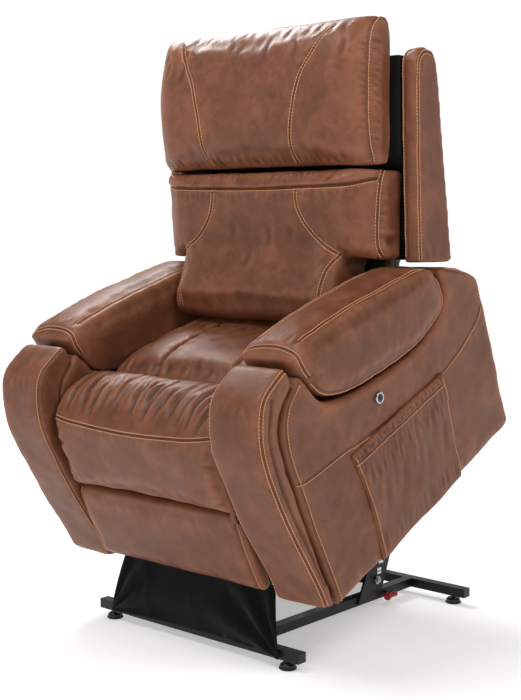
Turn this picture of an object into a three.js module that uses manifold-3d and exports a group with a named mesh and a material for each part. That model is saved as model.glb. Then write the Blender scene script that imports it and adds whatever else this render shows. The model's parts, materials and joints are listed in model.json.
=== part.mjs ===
// A lift recliner chair, drawn as it stands with the lift raised. Millimetres, +Z up, -Y is the chair's front and
// +X its occupant's left. Outlines are [y, z] points, extruded along X.
//
// Two frames are used: the base stands on the floor, and the seat frame, in which the chair is level, is turned by
// liftTilt about X. The back is upright while the chair is raised, so it is drawn in the base's frame.
import * as THREE from "three";
import { mergeVertices } from "three/addons/utils/BufferGeometryUtils.js";
import Module from "manifold-3d";

const wasm = await Module();
wasm.setup();

// ---- Driving dimensions ----
const seatWidth = 566; // between the arms
const armWidth = 165;
const backHeight = 593; // from the wings' lower edge to the top of the head pillow
const lumbarHeight = 232; // from the wings' lower edge to the gap under the pillow
const liftTilt = THREE.MathUtils.degToRad(24.76); // of the seat frame, with the lift raised
const baseLength = 708; // between the feet, front to rear
const tubeHeight = 24.5;
const tubeDepth = 27.5;
const tubeUnderside = 22.7; // the base tubes' height above the floor
const footRadius = 19;
const footHeight = 15;
const plateThickness = 6; // every flat steel part
const pinRadius = 6;
const openEyeRadius = 21; // the actuators' front eyes are oversize, because these pivots are open
const actuatorRadius = 19;
const motorRadius = 26;
const rodRadius = 10;
const gap = 0.3; // between pieces that touch
const runningGap = 0.8; // between parts that turn or slide beside each other

// ---- Worked out from them ----
const armInner = seatWidth / 2;
const armOuter = armInner + armWidth;
const softHalf = armInner - 4; // cushions between the arms
const sidePlateInner = armInner - 75;
const sidePlateOuter = sidePlateInner + plateThickness - 2;
const linkInner = sidePlateOuter + 2 * runningGap;
const linkOuter = linkInner + plateThickness;
const outerLinkInner = linkOuter + runningGap;
const outerLinkOuter = outerLinkInner + plateThickness;
const railCentre = sidePlateInner - 53;
const footX = armInner + 17;
const barHalf = footX + 40;
const footY = baseLength / 2;
const barTop = tubeUnderside + tubeHeight;
const towerInner = railCentre + tubeDepth / 2 + gap;
const towerOuter = towerInner + plateThickness;
const liftArmInner = railCentre - 22;
const liftArmOuter = liftArmInner + plateThickness;
const earInner = liftArmOuter + runningGap;
const earOuter = earInner + plateThickness;
const clevisInner = rodRadius + 2 * runningGap;
const clevisOuter = clevisInner + plateThickness;
const wingBottom = 948;
const wingTop = wingBottom + backHeight - 76;
const pillowGap = wingBottom + lumbarHeight;
const pillowTop = wingBottom + backHeight;
const backHalf = armInner + 89;

// Pivots. The base's and the back's are in the base's frame, the others in the seat frame.
const seatOrigin = [-342.4, 171.7]; // of the seat frame: the lower front corner of the arm panels
const liftRear = [164, 82];
const liftMotorPivot = [300, 75];
const liftFront = [100, 20];
const liftClevis = [250, 130];
const reclineHinge = [640, 330];
const reclineMotorPivot = [180, 230];
const reclineClevis = [610, 220];
const footrestRoot = [60, 235];
const footrestKnee = [151, 40];
const footrestAnkle = [8, 150];

const leather = { color: 0x6e4434, roughness: 0.5, metalness: 0 };
const blackSteel = { color: 0x17171a, roughness: 0.45, metalness: 0.3 };
const zinc = { color: 0xb8bcc0, roughness: 0.35, metalness: 1 };
const blackPlastic = { color: 0x141414, roughness: 0.5, metalness: 0 };
const redPlastic = { color: 0xa01818, roughness: 0.4, metalness: 0 };
const blackCloth = { color: 0x1a1a1c, roughness: 0.9, metalness: 0 };
const plywood = { color: 0xb08a5a, roughness: 0.7, metalness: 0 };

// ---- Helpers ----
const sideView = new THREE.Matrix4().makeBasis(
  new THREE.Vector3(0, 1, 0),
  new THREE.Vector3(0, 0, 1),
  new THREE.Vector3(1, 0, 0),
);

const seatToBase = ([y, z]) => [
  seatOrigin[0] + y * Math.cos(liftTilt) - z * Math.sin(liftTilt),
  seatOrigin[1] + y * Math.sin(liftTilt) + z * Math.cos(liftTilt),
];

const points = (list) => list.map(([y, z]) => new THREE.Vector2(y, z));
const polygon = (list) => new THREE.Shape(points(list));
const box = (y0, y1, z0, z1) => polygon([[y0, z0], [y1, z0], [y1, z1], [y0, z1]]);

// A closed outline whose stretches are either one straight line to a point, or a curve through a list of points.
function outline(start, ...stretches) {
  const shape = new THREE.Shape();
  shape.moveTo(...start);
  for (const stretch of stretches) {
    if (Array.isArray(stretch[0])) shape.splineThru(points(stretch));
    else shape.lineTo(...stretch);
  }
  return shape;
}

// A flat outline extruded along X, with rounded edges where a bevel is given.
function slab(shape, fromX, toX, bevel = 0, curveSegments = 6) {
  const geometry = new THREE.ExtrudeGeometry(shape, {
    depth: toX - fromX - 2 * bevel,
    bevelEnabled: bevel > 0,
    bevelThickness: bevel,
    bevelSize: bevel,
    bevelOffset: -bevel,
    bevelSegments: 2,
    curveSegments,
  });
  geometry.translate(0, 0, fromX + bevel);
  return geometry.applyMatrix4(sideView);
}

const disc = ([y, z], radius) => new THREE.Shape().absarc(y, z, radius, 0, 2 * Math.PI, false);
const rod = (centre, radius, fromX, toX) => slab(disc(centre, radius), fromX, toX, 0, 8);
const rodAlongY = (radius, fromY, toY, x = 0, z = 0) =>
  new THREE.CylinderGeometry(radius, radius, toY - fromY, 16).translate(x, (fromY + toY) / 2, z);

function withHoles(shape, holes) {
  for (const [centre, radius] of holes)
    shape.holes.push(new THREE.Path().absarc(...centre, radius, 0, 2 * Math.PI, true));
  return shape;
}

// A bar with round ends about two points, with a hole at each.
function link(from, to, halfWidth, holeRadius) {
  const angle = Math.atan2(to[1] - from[1], to[0] - from[0]);
  const shape = new THREE.Shape();
  shape.absarc(...from, halfWidth, angle + Math.PI / 2, angle + 1.5 * Math.PI, false);
  shape.absarc(...to, halfWidth, angle - Math.PI / 2, angle + Math.PI / 2, false);
  shape.closePath();
  return withHoles(shape, [[from, holeRadius], [to, holeRadius]]);
}

function solidOf(geometry) {
  const bare = geometry.clone().deleteAttribute("normal").deleteAttribute("uv");
  const merged = mergeVertices(bare, 1e-3);
  return new wasm.Manifold(
    new wasm.Mesh({
      numProp: 3,
      vertProperties: merged.attributes.position.array,
      triVerts: new Uint32Array(merged.index.array),
    }),
  );
}

function geometryOf(solid) {
  const { vertProperties, triVerts } = solid.getMesh();
  const geometry = new THREE.BufferGeometry();
  geometry.setAttribute("position", new THREE.BufferAttribute(vertProperties, 3));
  geometry.setIndex(new THREE.BufferAttribute(triVerts, 1));
  return geometry;
}

const joined = (...pieces) => geometryOf(pieces.map(solidOf).reduce((whole, piece) => whole.add(piece)));
const cut = (piece, ...tools) =>
  geometryOf(tools.map(solidOf).reduce((whole, tool) => whole.subtract(tool), solidOf(piece)));

function add(group, name, geometry, finish) {
  const mesh = new THREE.Mesh(geometry, new THREE.MeshStandardMaterial(finish));
  mesh.name = name;
  group.add(mesh);
  return mesh;
}

// Left is as drawn, and right is its mirror image.
function addPair(group, name, geometry, finish) {
  add(group, name + "_left", geometry, finish);
  add(group, name + "_right", geometry.clone(), finish).scale.x = -1;
}

// ---- Base ----
function baseBar(y) {
  const bar = slab(box(y - tubeDepth / 2, y + tubeDepth / 2, tubeUnderside, barTop), -barHalf, barHalf);
  const bore = (side) =>
    new THREE.CylinderGeometry(5.6, 5.6, 2 * tubeHeight, 16)
      .rotateX(Math.PI / 2)
      .translate(side * footX, y, tubeUnderside - 6);
  return cut(bar, bore(-1), bore(1));
}

// A round pad on a threaded stem that stands in the bar.
function foot() {
  const stemTop = tubeUnderside + tubeHeight * 0.7;
  const profile = [[0, 0], [footRadius, 0], [footRadius, footHeight - 4], [footRadius - 4, footHeight],
    [5, footHeight], [5, stemTop], [0, stemTop]];
  return new THREE.LatheGeometry(points(profile), 24).rotateX(Math.PI / 2);
}

// The plate that carries a lift arm leans back from the side rail it is bolted to.
function liftTower() {
  const plate = polygon([[86, 30], [183, 30], [228, 139], [218, 150], [150, 150], [121, 100]]);
  return slab(withHoles(plate, [[liftRear, pinRadius + gap]]), towerInner, towerOuter);
}

function motorBracket() {
  const [y, z] = liftMotorPivot;
  const backY = footY - tubeDepth / 2 - gap;
  const earsFrom = actuatorRadius + 8 + runningGap;
  const ears = earsFrom + plateThickness;
  const back = slab(box(backY - plateThickness, backY, 24, z + 25), -ears, ears);
  const ear = polygon([[y - 15, z - 12], [backY - 1, z - 40], [backY - 1, z + 25], [y - 8, z + 15]]);
  return joined(
    back,
    slab(ear, earsFrom, ears),
    slab(ear, -ears, -earsFrom),
    rod(liftMotorPivot, pinRadius, -ears, ears),
  );
}

// Red quick-release pin that holds the tower to its rail.
function lockPin() {
  const x = towerInner + 20;
  return joined(
    rodAlongY(7.5, 198, 236, x, 30),
    rodAlongY(11, 196, 202, x, 30),
    rod([222, 32], 5, towerInner, x),
  );
}

// Cloth that closes the space under the seat, from the front bar up to the seat frame.
function frontSkirt() {
  const bottom = [-footY - tubeDepth / 2 - 5.5, 26];
  const top = seatToBase([5, 24]);
  const height = Math.hypot(top[0] - bottom[0], top[1] - bottom[1]);
  const bottomHalf = footX - 8;
  const topHalf = armInner - 26;
  const sheet = new THREE.Shape(points([[-bottomHalf, 0], [bottomHalf, 0], [topHalf, height], [-topHalf, height]]));
  const geometry = new THREE.ExtrudeGeometry(sheet, { depth: 2, bevelEnabled: false });
  geometry.rotateX(Math.PI / 2 - Math.atan2(top[0] - bottom[0], top[1] - bottom[1]));
  return geometry.translate(0, bottom[0], bottom[1]);
}

function buildBase(group) {
  add(group, "base_front_bar", baseBar(-footY), blackSteel);
  add(group, "base_rear_bar", baseBar(footY), blackSteel);
  const railEnd = footY - tubeDepth / 2 - gap;
  const rail = box(-railEnd, railEnd, tubeUnderside, barTop);
  addPair(group, "base_rail", slab(rail, railCentre - tubeDepth / 2, railCentre + tubeDepth / 2), blackSteel);
  for (const [place, y] of [["front", -footY], ["rear", footY]]) {
    const cap = box(y - tubeDepth / 2, y + tubeDepth / 2, tubeUnderside, barTop);
    addPair(group, place + "_bar_cap", slab(cap, barHalf + gap, barHalf + 4, 1), blackPlastic);
    addPair(group, place + "_foot", foot().translate(footX, y, 0), blackPlastic);
  }
  addPair(group, "lift_tower", liftTower(), blackSteel);
  const headFrom = towerOuter + gap;
  const bolt = joined(
    rod(liftRear, pinRadius, liftArmInner - 3, headFrom + 1),
    rod(liftRear, pinRadius + 4, headFrom, headFrom + 6),
  );
  addPair(group, "rear_pivot_bolt", bolt, zinc);
  add(group, "lift_motor_bracket", motorBracket(), blackSteel);
  add(group, "lock_pin", lockPin(), redPlastic);
  add(group, "front_skirt", frontSkirt(), blackCloth);
}

// ---- Lift linkage ----
// Two flat arms welded to a tube between them.
function buildLiftArms(group) {
  const front = seatToBase(liftFront);
  const arm = link(liftRear, front, 17, pinRadius + 2 * gap);
  const tubeAt = [(liftRear[0] + front[0]) / 2, (liftRear[1] + front[1]) / 2];
  const arms = joined(
    slab(arm, liftArmInner, liftArmOuter),
    slab(arm, -liftArmOuter, -liftArmInner),
    rod(tubeAt, 12, -liftArmInner - 1, liftArmInner + 1),
  );
  add(group, "lift_arms", arms, blackSteel);
}

// An electric actuator: a gearbox with a rear eye and a motor beside it, and an outer tube the rod slides in.
// Drawn along +Y from its rear pivot.
function motorHousing(reach, travel, side) {
  const halfWidth = actuatorRadius + 8;
  const eyeShape = withHoles(box(-13, 30, -13, 13), [[[0, 0], pinRadius + runningGap]]);
  const eye = slab(eyeShape, 3 - halfWidth, halfWidth - 3);
  const gearbox = slab(box(20, 74, -28, 28), -halfWidth, halfWidth, 4);
  const motorX = side * (halfWidth + motorRadius - 2);
  const neck = slab(box(33, 66, -15, 15), Math.min(side, motorX), Math.max(side, motorX));
  const motor = rodAlongY(motorRadius, 28, 158, motorX);
  const tubeEnd = reach - travel - 46;
  const tube = rodAlongY(actuatorRadius, 60, tubeEnd);
  const bore = rodAlongY(rodRadius + gap, 88, tubeEnd + 10);
  return cut(joined(eye, gearbox, neck, motor, tube), bore);
}

// The rod ends in an oversize eye around the clevis pin.
function actuatorRod(reach, travel) {
  const eye = withHoles(disc([reach, 0], openEyeRadius + 5), [[[reach, 0], openEyeRadius]]);
  const inside = 96 + travel;
  return joined(slab(eye, -6, 6), rodAlongY(rodRadius, inside, reach - openEyeRadius - 2));
}

function buildActuator(group, name, from, to, travel, side) {
  const holder = new THREE.Group();
  holder.position.set(0, ...from);
  holder.rotation.x = Math.atan2(to[1] - from[1], to[0] - from[0]);
  const reach = Math.hypot(to[1] - from[1], to[0] - from[0]);
  add(holder, name + "_motor_housing", motorHousing(reach, travel, side), blackPlastic);
  add(holder, name + "_rod", actuatorRod(reach, travel), zinc);
  group.add(holder);
}

// ---- Seat frame ----
function sidePlate() {
  const plate = polygon([[30, 140], [30, 344], [526, 344], [526, 317], [610, 317], [618, 352], [662, 352],
    [670, 300], [600, 150], [480, 105], [300, 60], [78, 60], [60, 140]]);
  return joined(
    slab(plate, sidePlateInner, sidePlateOuter),
    rod(footrestRoot, pinRadius - 1, sidePlateOuter - 1, linkOuter + gap),
    rod(reclineHinge, pinRadius, sidePlateOuter - 1, outerLinkOuter + 6),
  );
}

// Each cross tube carries a pair of ears.
function frontCrossTube() {
  const half = sidePlateInner - gap;
  const ear = withHoles(box(82, 118, 4, 75), [[liftFront, pinRadius + gap]]);
  return joined(
    rod([100, 75], 14, -half, half),
    slab(ear, earInner, earOuter),
    slab(ear, -earOuter, -earInner),
  );
}

function clevisTube() {
  const half = sidePlateInner - gap;
  const [y, z] = liftClevis;
  const tubeZ = z + openEyeRadius + 32;
  const ear = box(y - 13, y + 13, z - 14, tubeZ);
  return joined(
    rod([y, tubeZ], 13, -half, half),
    slab(ear, clevisInner, clevisOuter),
    slab(ear, -clevisOuter, -clevisInner),
    rod(liftClevis, pinRadius, -clevisInner - 1, clevisInner + 1),
  );
}

// Pivot of the recline actuator, on its own cross tube.
function reclineMotorTube() {
  const half = sidePlateInner - gap;
  const [y, z] = reclineMotorPivot;
  const earsFrom = actuatorRadius + 8 + runningGap;
  const ear = box(y - 34, y + 10, z - 12, z + 12);
  return joined(
    rod([y - 34, z], 12, -half, half),
    slab(ear, earsFrom, earsFrom + plateThickness),
    slab(ear, -earsFrom - plateThickness, -earsFrom),
    rod(reclineMotorPivot, pinRadius, -earsFrom - 1, earsFrom + 1),
  );
}

// A sinuous spring: one wire bent from side to side between the rails.
function seatSpring(x) {
  const bends = 8;
  const fromY = 62;
  const toY = 528;
  const path = new THREE.CatmullRomCurve3(
    Array.from({ length: 2 * bends + 1 }, (_, i) => {
      const side = i === 0 || i === 2 * bends ? 0 : i % 2 ? 24 : -24;
      return new THREE.Vector3(x + side, fromY + ((toY - fromY) * i) / (2 * bends), 354);
    }),
  );
  const wire = new THREE.Shape().absarc(0, 0, 2.4, 0, 2 * Math.PI, false);
  return new THREE.ExtrudeGeometry(wire, { steps: 48, extrudePath: path, curveSegments: 3 });
}

function buildSeatFrame(group) {
  addPair(group, "side_plate", sidePlate(), blackSteel);
  add(group, "front_cross_tube", frontCrossTube(), blackSteel);
  add(group, "lift_clevis_tube", clevisTube(), blackSteel);
  add(group, "recline_motor_tube", reclineMotorTube(), blackSteel);
  const bolt = joined(
    rod(liftFront, pinRadius, liftArmInner - 3, earOuter + 1),
    rod(liftFront, pinRadius + 4, earOuter + gap, earOuter + 6),
  );
  addPair(group, "front_pivot_bolt", bolt, zinc);
  const railHalf = armInner - gap;
  add(group, "seat_front_rail", slab(box(20, 60, 345, 395), -railHalf, railHalf), plywood);
  add(group, "seat_rear_rail", slab(box(530, 562, 318, 358), -railHalf, railHalf), plywood);
  for (const i of [1, 2, 3]) add(group, "seat_spring_" + i, seatSpring((i - 2) * seatWidth * 0.27), zinc);
  const cover = polygon([[764, 12], [774, 12], [790, 300], [700, 300], [700, 292], [781, 292]]);
  add(group, "rear_cover", slab(cover, -railHalf, railHalf), leather);
}

// ---- Arms, in the seat frame ----
// The padded post at the front of each arm.
const postFront = [[-43, 91], [-66, 230], [-78, 343], [-81, 433], [-65, 505], [-30, 563], [33, 586], [76, 594]];
const panelFront = [[1, 101], [-7, 238], [-8, 337], [-11, 386], [-3, 458], [29, 513], [84, 543]];
const padSeat = [[97, 567], [119, 515], [141, 479], [180, 453], [232, 436], [335, 415], [430, 404], [519, 401], [578, 410],
  [627, 425], [658, 450], [664, 488], [651, 523]];
const padUpper = [[640, 548], [590, 564], [455, 588], [336, 604], [224, 614], [140, 613], [88, 600]];

function armPost() {
  const rear = [[8, 0], ...panelFront].map(([y, z]) => [y - 2 * gap, z]).reverse();
  const shape = outline([-37, 18], postFront, rear[0], rear.slice(1), [-25, 8]);
  return slab(shape, armInner + 1, armOuter - 8, 6, 2);
}

// The panel's upper edge runs round the pad, a gap away from it.
function panelUnderPad() {
  const [midY, topZ] = [390, 600];
  const spread = 1 + (4 * gap) / (topZ - padSeat[7][1]);
  return padSeat.map(([y, z]) => [midY + (y - midY) * spread, topZ + (z - topZ) * spread]);
}

// The pocket is a recess in the panel, with a leather front that leaves a slit open at the top.
const pocket = { rear: 572, front: 190, floor: 14, top: 300, depth: 16, slit: 9 };

function armPanel(hasPocket) {
  const under = panelUnderPad();
  const shape = outline(
    [8, 0], panelFront, under[0], under.slice(1), [698, 521],
    [[735, 499], [768, 478], [815, 434], [823, 393], [794, 174], [776, 0]], [8, 0],
  );
  const panel = slab(shape, armInner, armOuter, 3, 2);
  if (!hasPocket) return panel;
  const recess = slab(
    box(pocket.front, pocket.rear, pocket.floor, pocket.top + pocket.slit),
    armOuter - pocket.depth, armOuter + 2,
  );
  return cut(panel, recess);
}

function sidePocket() {
  const front = box(pocket.front + gap, pocket.rear - gap, pocket.floor + gap, pocket.top);
  return slab(front, armOuter - 4, armOuter + 1);
}

function armPad() {
  const shape = outline(padSeat[0], padSeat.slice(1), padUpper);
  return slab(shape, armInner - 3, armOuter + 3, 8, 2);
}

// A bezel ring with a sunk face, for an accessory lead.
function accessoryPort() {
  const profile = [[0, 0], [14, 0], [14, 2], [12, 3.4], [10, 3.4], [9, 1.4], [0, 1.4]];
  const turned = new THREE.LatheGeometry(points(profile), 24);
  return turned.rotateZ(-Math.PI / 2).translate(armOuter + gap, 323, 369);
}

function buildArms(group) {
  addPair(group, "arm_post", armPost(), leather);
  addPair(group, "arm_pad", armPad(), leather);
  add(group, "arm_panel_left", armPanel(true), leather);
  add(group, "arm_panel_right", armPanel(false), leather).scale.x = -1;
  add(group, "side_pocket_left", sidePocket(), leather);
  add(group, "accessory_port", accessoryPort(), zinc);
}

// ---- Seat and footrest, in the seat frame ----
function buildSeat(group) {
  const seat = outline([166, 364], [166, 452], [[250, 470], [350, 462], [455, 443], [544, 426]], [544, 364], [166, 364]);
  add(group, "seat_cushion", slab(seat, -softHalf, softHalf, 8, 2), leather);
  const roll = outline(
    [-12, 266], [-58, 266], [[-68, 300], [-67, 390], [-50, 455], [-15, 488], [45, 500], [110, 494], [160, 468]],
    [162, 402], [-10, 402], [-12, 266],
  );
  add(group, "seat_front_roll", slab(roll, -softHalf, softHalf, 6, 2), leather);
}

function buildFootrest(group) {
  const hole = pinRadius - 1 + 0.6;
  addPair(group, "footrest_inner_link", slab(link(footrestRoot, footrestKnee, 12, hole), linkInner, linkOuter), blackSteel);
  const bar = link(footrestKnee, footrestAnkle, 12, 1);
  bar.holes = [];
  const stub = (pivot) => rod(pivot, pinRadius - 1, linkInner - gap, outerLinkInner + 1);
  addPair(
    group, "footrest_outer_link",
    joined(slab(bar, outerLinkInner, outerLinkOuter), stub(footrestKnee), stub(footrestAnkle)), blackSteel,
  );
  const [ankleY, ankleZ] = footrestAnkle;
  const ear = withHoles(box(-12, ankleY + 12, ankleZ - 14, ankleZ + 14), [[footrestAnkle, hole]]);
  const board = joined(
    slab(box(-20, -9, 50, 250), -armInner + 20, armInner - 20),
    slab(ear, linkInner, linkOuter),
    slab(ear, -linkOuter, -linkInner),
  );
  add(group, "footrest_board", board, plywood);
  const pad = outline([-21, 40], [-46, 38], [[-57, 60], [-60, 150], [-58, 240]], [-48, 258], [-21, 258], [-21, 40]);
  add(group, "footrest_pad", slab(pad, -softHalf, softHalf, 6, 2), leather);
}

// ---- Back, upright while the chair is raised ----
function backFrame() {
  const hinge = seatToBase(reclineHinge);
  const lever = seatToBase(reclineClevis);
  const upper = polygon([[12, wingBottom + 6], [58, wingBottom + 6], [44, wingTop - 20], [-34, wingTop - 20],
    [-34, pillowGap + 36], [12, pillowGap]]);
  const lower = box(12, 58, 762, wingBottom + 20);
  const ear = polygon([[30, 764], [58, 770], [hinge[0] + 12, hinge[1] + 10], [hinge[0] + 12, hinge[1] - 12],
    [hinge[0] - 14, hinge[1] - 12]]);
  const arm = link([40, 775], lever, 12, 1);
  arm.holes = [];
  const pieces = [
    slab(upper, -backHalf, backHalf),
    slab(lower, -softHalf + 6, softHalf - 6),
    rod(lever, pinRadius, -clevisInner - 1, clevisInner + 1),
  ];
  for (const side of [-1, 1]) {
    pieces.push(slab(ear, Math.min(side * outerLinkInner, side * outerLinkOuter),
      Math.max(side * outerLinkInner, side * outerLinkOuter)));
    pieces.push(slab(arm, side > 0 ? clevisInner : -clevisOuter, side > 0 ? clevisOuter : -clevisInner));
  }
  return cut(joined(...pieces), rod(hinge, pinRadius + gap, -armInner, armInner));
}

function backRearPanel() {
  const upper = polygon([[60, wingBottom + 6], [134, wingBottom + 6], [68, wingTop - 75], [50, wingTop - 12],
    [46, wingTop - 12]]);
  const lower = polygon([[60, 772], [118, 772], [134, 800], [134, wingBottom + 20], [60, wingBottom + 20]]);
  return joined(slab(upper, -backHalf, backHalf), slab(lower, -softHalf + 6, softHalf - 6));
}

function wing() {
  const shape = outline(
    [-8, wingBottom], [[-18, wingBottom + 160], [-30, wingTop - 75], [-25, wingTop - 20], [5, wingTop]],
    [[40, wingTop - 4], [56, wingTop - 25], [70, wingTop - 75], [139, wingBottom + 6]], [130, wingBottom],
  );
  return slab(shape, backHalf + gap, backHalf + 50, 8, 2);
}

// The lower back cushion is wide above the arms and narrow between them.
function lumbarCushion() {
  const upperFront = [[-108, wingBottom + 30], [-112, wingBottom + 110], [-104, pillowGap - 20]];
  const wide = outline([10, wingBottom + 4], [-90, wingBottom + 4], upperFront, [-70, pillowGap - 2], [10, pillowGap - 2]);
  const narrow = outline(
    [-12, 822], [-120, 796], [[-160, 812], [-166, 850], [-148, 900], [-112, wingBottom + 60]], [8, wingBottom + 60],
  );
  return joined(slab(wide, -armInner - 70, armInner + 70, 6, 2), slab(narrow, -softHalf + 4, softHalf - 4, 6, 2));
}

function headPillow() {
  const shape = outline(
    [-37, pillowGap + 40], [-60, pillowGap + 6],
    [[-125, pillowGap + 4], [-155, pillowGap + 60], [-160, pillowGap + 200], [-140, pillowTop - 40], [-95, pillowTop]],
    [-50, pillowTop - 8], [-37, pillowTop - 40],
  );
  return slab(shape, -armInner - 70, armInner + 70, 8, 2);
}

function buildBack(group) {
  add(group, "back_frame", backFrame(), blackCloth);
  add(group, "back_rear_panel", backRearPanel(), leather);
  addPair(group, "wing", wing(), leather);
  add(group, "lumbar_cushion", lumbarCushion(), leather);
  add(group, "head_pillow", headPillow(), leather);
}

// ---- Assembly ----
const chair = new THREE.Group();
const seatFrame = new THREE.Group();
seatFrame.position.set(0, ...seatOrigin);
seatFrame.rotation.x = liftTilt;
chair.add(seatFrame);

buildBase(chair);
buildLiftArms(chair);
buildActuator(chair, "lift", liftMotorPivot, seatToBase(liftClevis), 121, 1);
buildSeatFrame(seatFrame);
buildActuator(seatFrame, "recline", reclineMotorPivot, reclineClevis, 67, -1);
buildArms(seatFrame);
buildSeat(seatFrame);
buildFootrest(seatFrame);
buildBack(chair);

// The origin is at the middle of the whole chair's footprint.
const middle = new THREE.Box3().setFromObject(chair, true).getCenter(new THREE.Vector3());
chair.position.y = -middle.y;
const assembly = new THREE.Group();
assembly.add(chair);

export default assembly;
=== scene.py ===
# A lift recliner chair in brown leather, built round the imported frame. Metres, +Z up, facing -Y.
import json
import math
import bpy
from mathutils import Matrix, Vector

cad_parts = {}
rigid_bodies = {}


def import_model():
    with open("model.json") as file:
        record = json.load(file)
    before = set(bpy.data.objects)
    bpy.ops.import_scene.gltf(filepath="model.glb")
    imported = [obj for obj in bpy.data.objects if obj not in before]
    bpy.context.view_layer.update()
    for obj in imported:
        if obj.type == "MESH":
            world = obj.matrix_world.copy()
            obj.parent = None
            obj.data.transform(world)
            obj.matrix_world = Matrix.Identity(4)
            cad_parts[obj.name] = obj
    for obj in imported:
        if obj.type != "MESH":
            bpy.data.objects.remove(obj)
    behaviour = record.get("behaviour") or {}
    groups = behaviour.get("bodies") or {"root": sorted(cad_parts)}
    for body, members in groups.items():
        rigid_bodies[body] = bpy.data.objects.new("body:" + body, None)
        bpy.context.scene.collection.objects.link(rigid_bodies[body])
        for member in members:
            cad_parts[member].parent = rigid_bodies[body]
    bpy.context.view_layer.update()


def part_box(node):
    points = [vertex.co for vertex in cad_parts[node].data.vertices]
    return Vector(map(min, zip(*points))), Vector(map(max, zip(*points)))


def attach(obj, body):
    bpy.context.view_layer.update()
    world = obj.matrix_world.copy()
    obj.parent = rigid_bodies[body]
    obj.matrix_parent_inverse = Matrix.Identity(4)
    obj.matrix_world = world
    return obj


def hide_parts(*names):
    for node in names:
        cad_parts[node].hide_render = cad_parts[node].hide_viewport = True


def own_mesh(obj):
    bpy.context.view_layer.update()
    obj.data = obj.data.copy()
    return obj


bl_info = {
    "name": "Lift recliner chair",
    "version": (1, 0, 0),
    "blender": (4, 5, 0),
    "location": "View3D > Sidebar > Recliner",
    "description": "Upholstery, stitching, steelwork and stage for a lift recliner chair",
    "category": "Object",
}

import bmesh
import bpy
import numpy as np
from mathutils import Matrix, Vector, kdtree
from mathutils.bvhtree import BVHTree

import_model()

MM = 0.001
SIDES = (1, -1)  # left, then right
SIDE_NAME = {1: "left", -1: "right"}

# The seat frame is level when the chair is lowered and turned by SEAT_TILT while it is raised. The outlines
# of the arms, seat and footrest are in it, and those of the back, which is upright while raised, are in the
# base's frame. Both are in millimetres, with the middle of the base at 0.
SEAT_TILT = math.radians(24.76)
BASE_MIDDLE = (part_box("base_front_bar")[0].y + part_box("base_rear_bar")[1].y) / 2
BACK_FRAME = Matrix.Translation((0, BASE_MIDDLE, 0))
SEAT_FRAME = Matrix.Translation((0, BASE_MIDDLE - 0.3424, 0.1717)) @ Matrix.Rotation(SEAT_TILT, 4, "X")

SEAT_HALF = 279  # half the width of the cushions between the arms
BACK_HALF = 361  # half the width of the cushions above the arms
REAR_HALF = 370  # half the width of the cover behind the back
ARM_SIDE = 450  # the outer side of the left arm's pad
ONE_ROW = (1.8, 2.6)  # depth and width of a seam with one row of stitches

CAMERA_PLACE = (2.2182, -2.5101, 1.0575)
CAMERA_TURN = (math.radians(84.194), 0, math.radians(41.36))
CAMERA_LENS = 66.96
FLOOR_HALF = 60


# ---------------------------------------------------------------- settings
class ReclinerSizes(bpy.types.PropertyGroup):
    """Sizes of the upholstery and its stitching."""

    cushion_grain: bpy.props.FloatProperty(
        name="Cushion mesh", description="Spacing of the mesh that cushions are shaped from",
        default=0.008, unit="LENGTH")
    panel_grain: bpy.props.FloatProperty(
        name="Panel mesh", description="Spacing of the mesh that large covers are shaped from",
        default=0.010, unit="LENGTH")
    stitch_pitch: bpy.props.FloatProperty(
        name="Stitch pitch", description="Distance from one stitch to the next", default=0.0082,
                                          unit="LENGTH")
    stitch_length: bpy.props.FloatProperty(
        name="Stitch length", description="Length of thread that shows in each stitch", default=0.0056,
        unit="LENGTH")
    thread_radius: bpy.props.FloatProperty(
        name="Thread radius", description="Half the thickness of the thread", default=0.00105,
                                           unit="LENGTH")
    row_offset: bpy.props.FloatProperty(
        name="Row offset", description="Distance of each row of a double seam from its middle",
                                        default=0.0046,
        unit="LENGTH")


class ReclinerColours(bpy.types.PropertyGroup):
    """Colours of the leather and thread."""

    leather_mid: bpy.props.StringProperty(
        name="Leather", description="Main leather colour, sRGB hex", default="#673D29")
    # The dark end of the leather: dark clouds of tone, and painted shade in folds and seams.
    leather_dark_and_fold_shade: bpy.props.StringProperty(
        name="Leather, dark", description="Colour in its clouds and folds, sRGB hex", default="#4A2A1B")
    # The light end of the leather: light clouds of tone, the wax lightening where stretched, and painted
    # highlight on ridges.
    leather_light_and_ridge_highlight: bpy.props.StringProperty(
        name="Leather, pulled", description="Colour where it is stretched and worn, sRGB hex",
                                            default="#86533A")
    thread: bpy.props.StringProperty(
        name="Thread", description="Colour of the stitching, sRGB hex", default="#D39A6C")


def sizes():
    return bpy.context.scene.recliner_sizes


def colours():
    return bpy.context.scene.recliner_colours


# ---------------------------------------------------------------- curves and meshes
def spline(points, per=8):
    """Points along a smooth curve through the given ones."""
    p = np.asarray(points, float)
    if len(p) < 3:
        return p
    ends = np.vstack([2 * p[0] - p[1], p, 2 * p[-1] - p[-2]])
    t = np.linspace(0, 1, per, endpoint=False)[:, None]
    runs = []
    for a, b, c, d in zip(ends, ends[1:], ends[2:], ends[3:]):
        square = 2 * a - 5 * b + 4 * c - d
        cube = 3 * b - a - 3 * c + d
        runs.append(0.5 * (2 * b + (c - a) * t + square * t**2 + cube * t**3))
    return np.vstack(runs + [p[-1:]])


def walk(line, spacing):
    """The line with points an even distance apart. Columns after the third go along with them."""
    lengths = np.linalg.norm(np.diff(line[:, :3], axis=0), axis=1)
    along = np.concatenate([[0], np.cumsum(lengths)])
    count = max(2, int(along[-1] / spacing) + 1)
    at = np.linspace(0, along[-1], count)
    return np.column_stack([np.interp(at, along, line[:, k]) for k in range(line.shape[1])])


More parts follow.
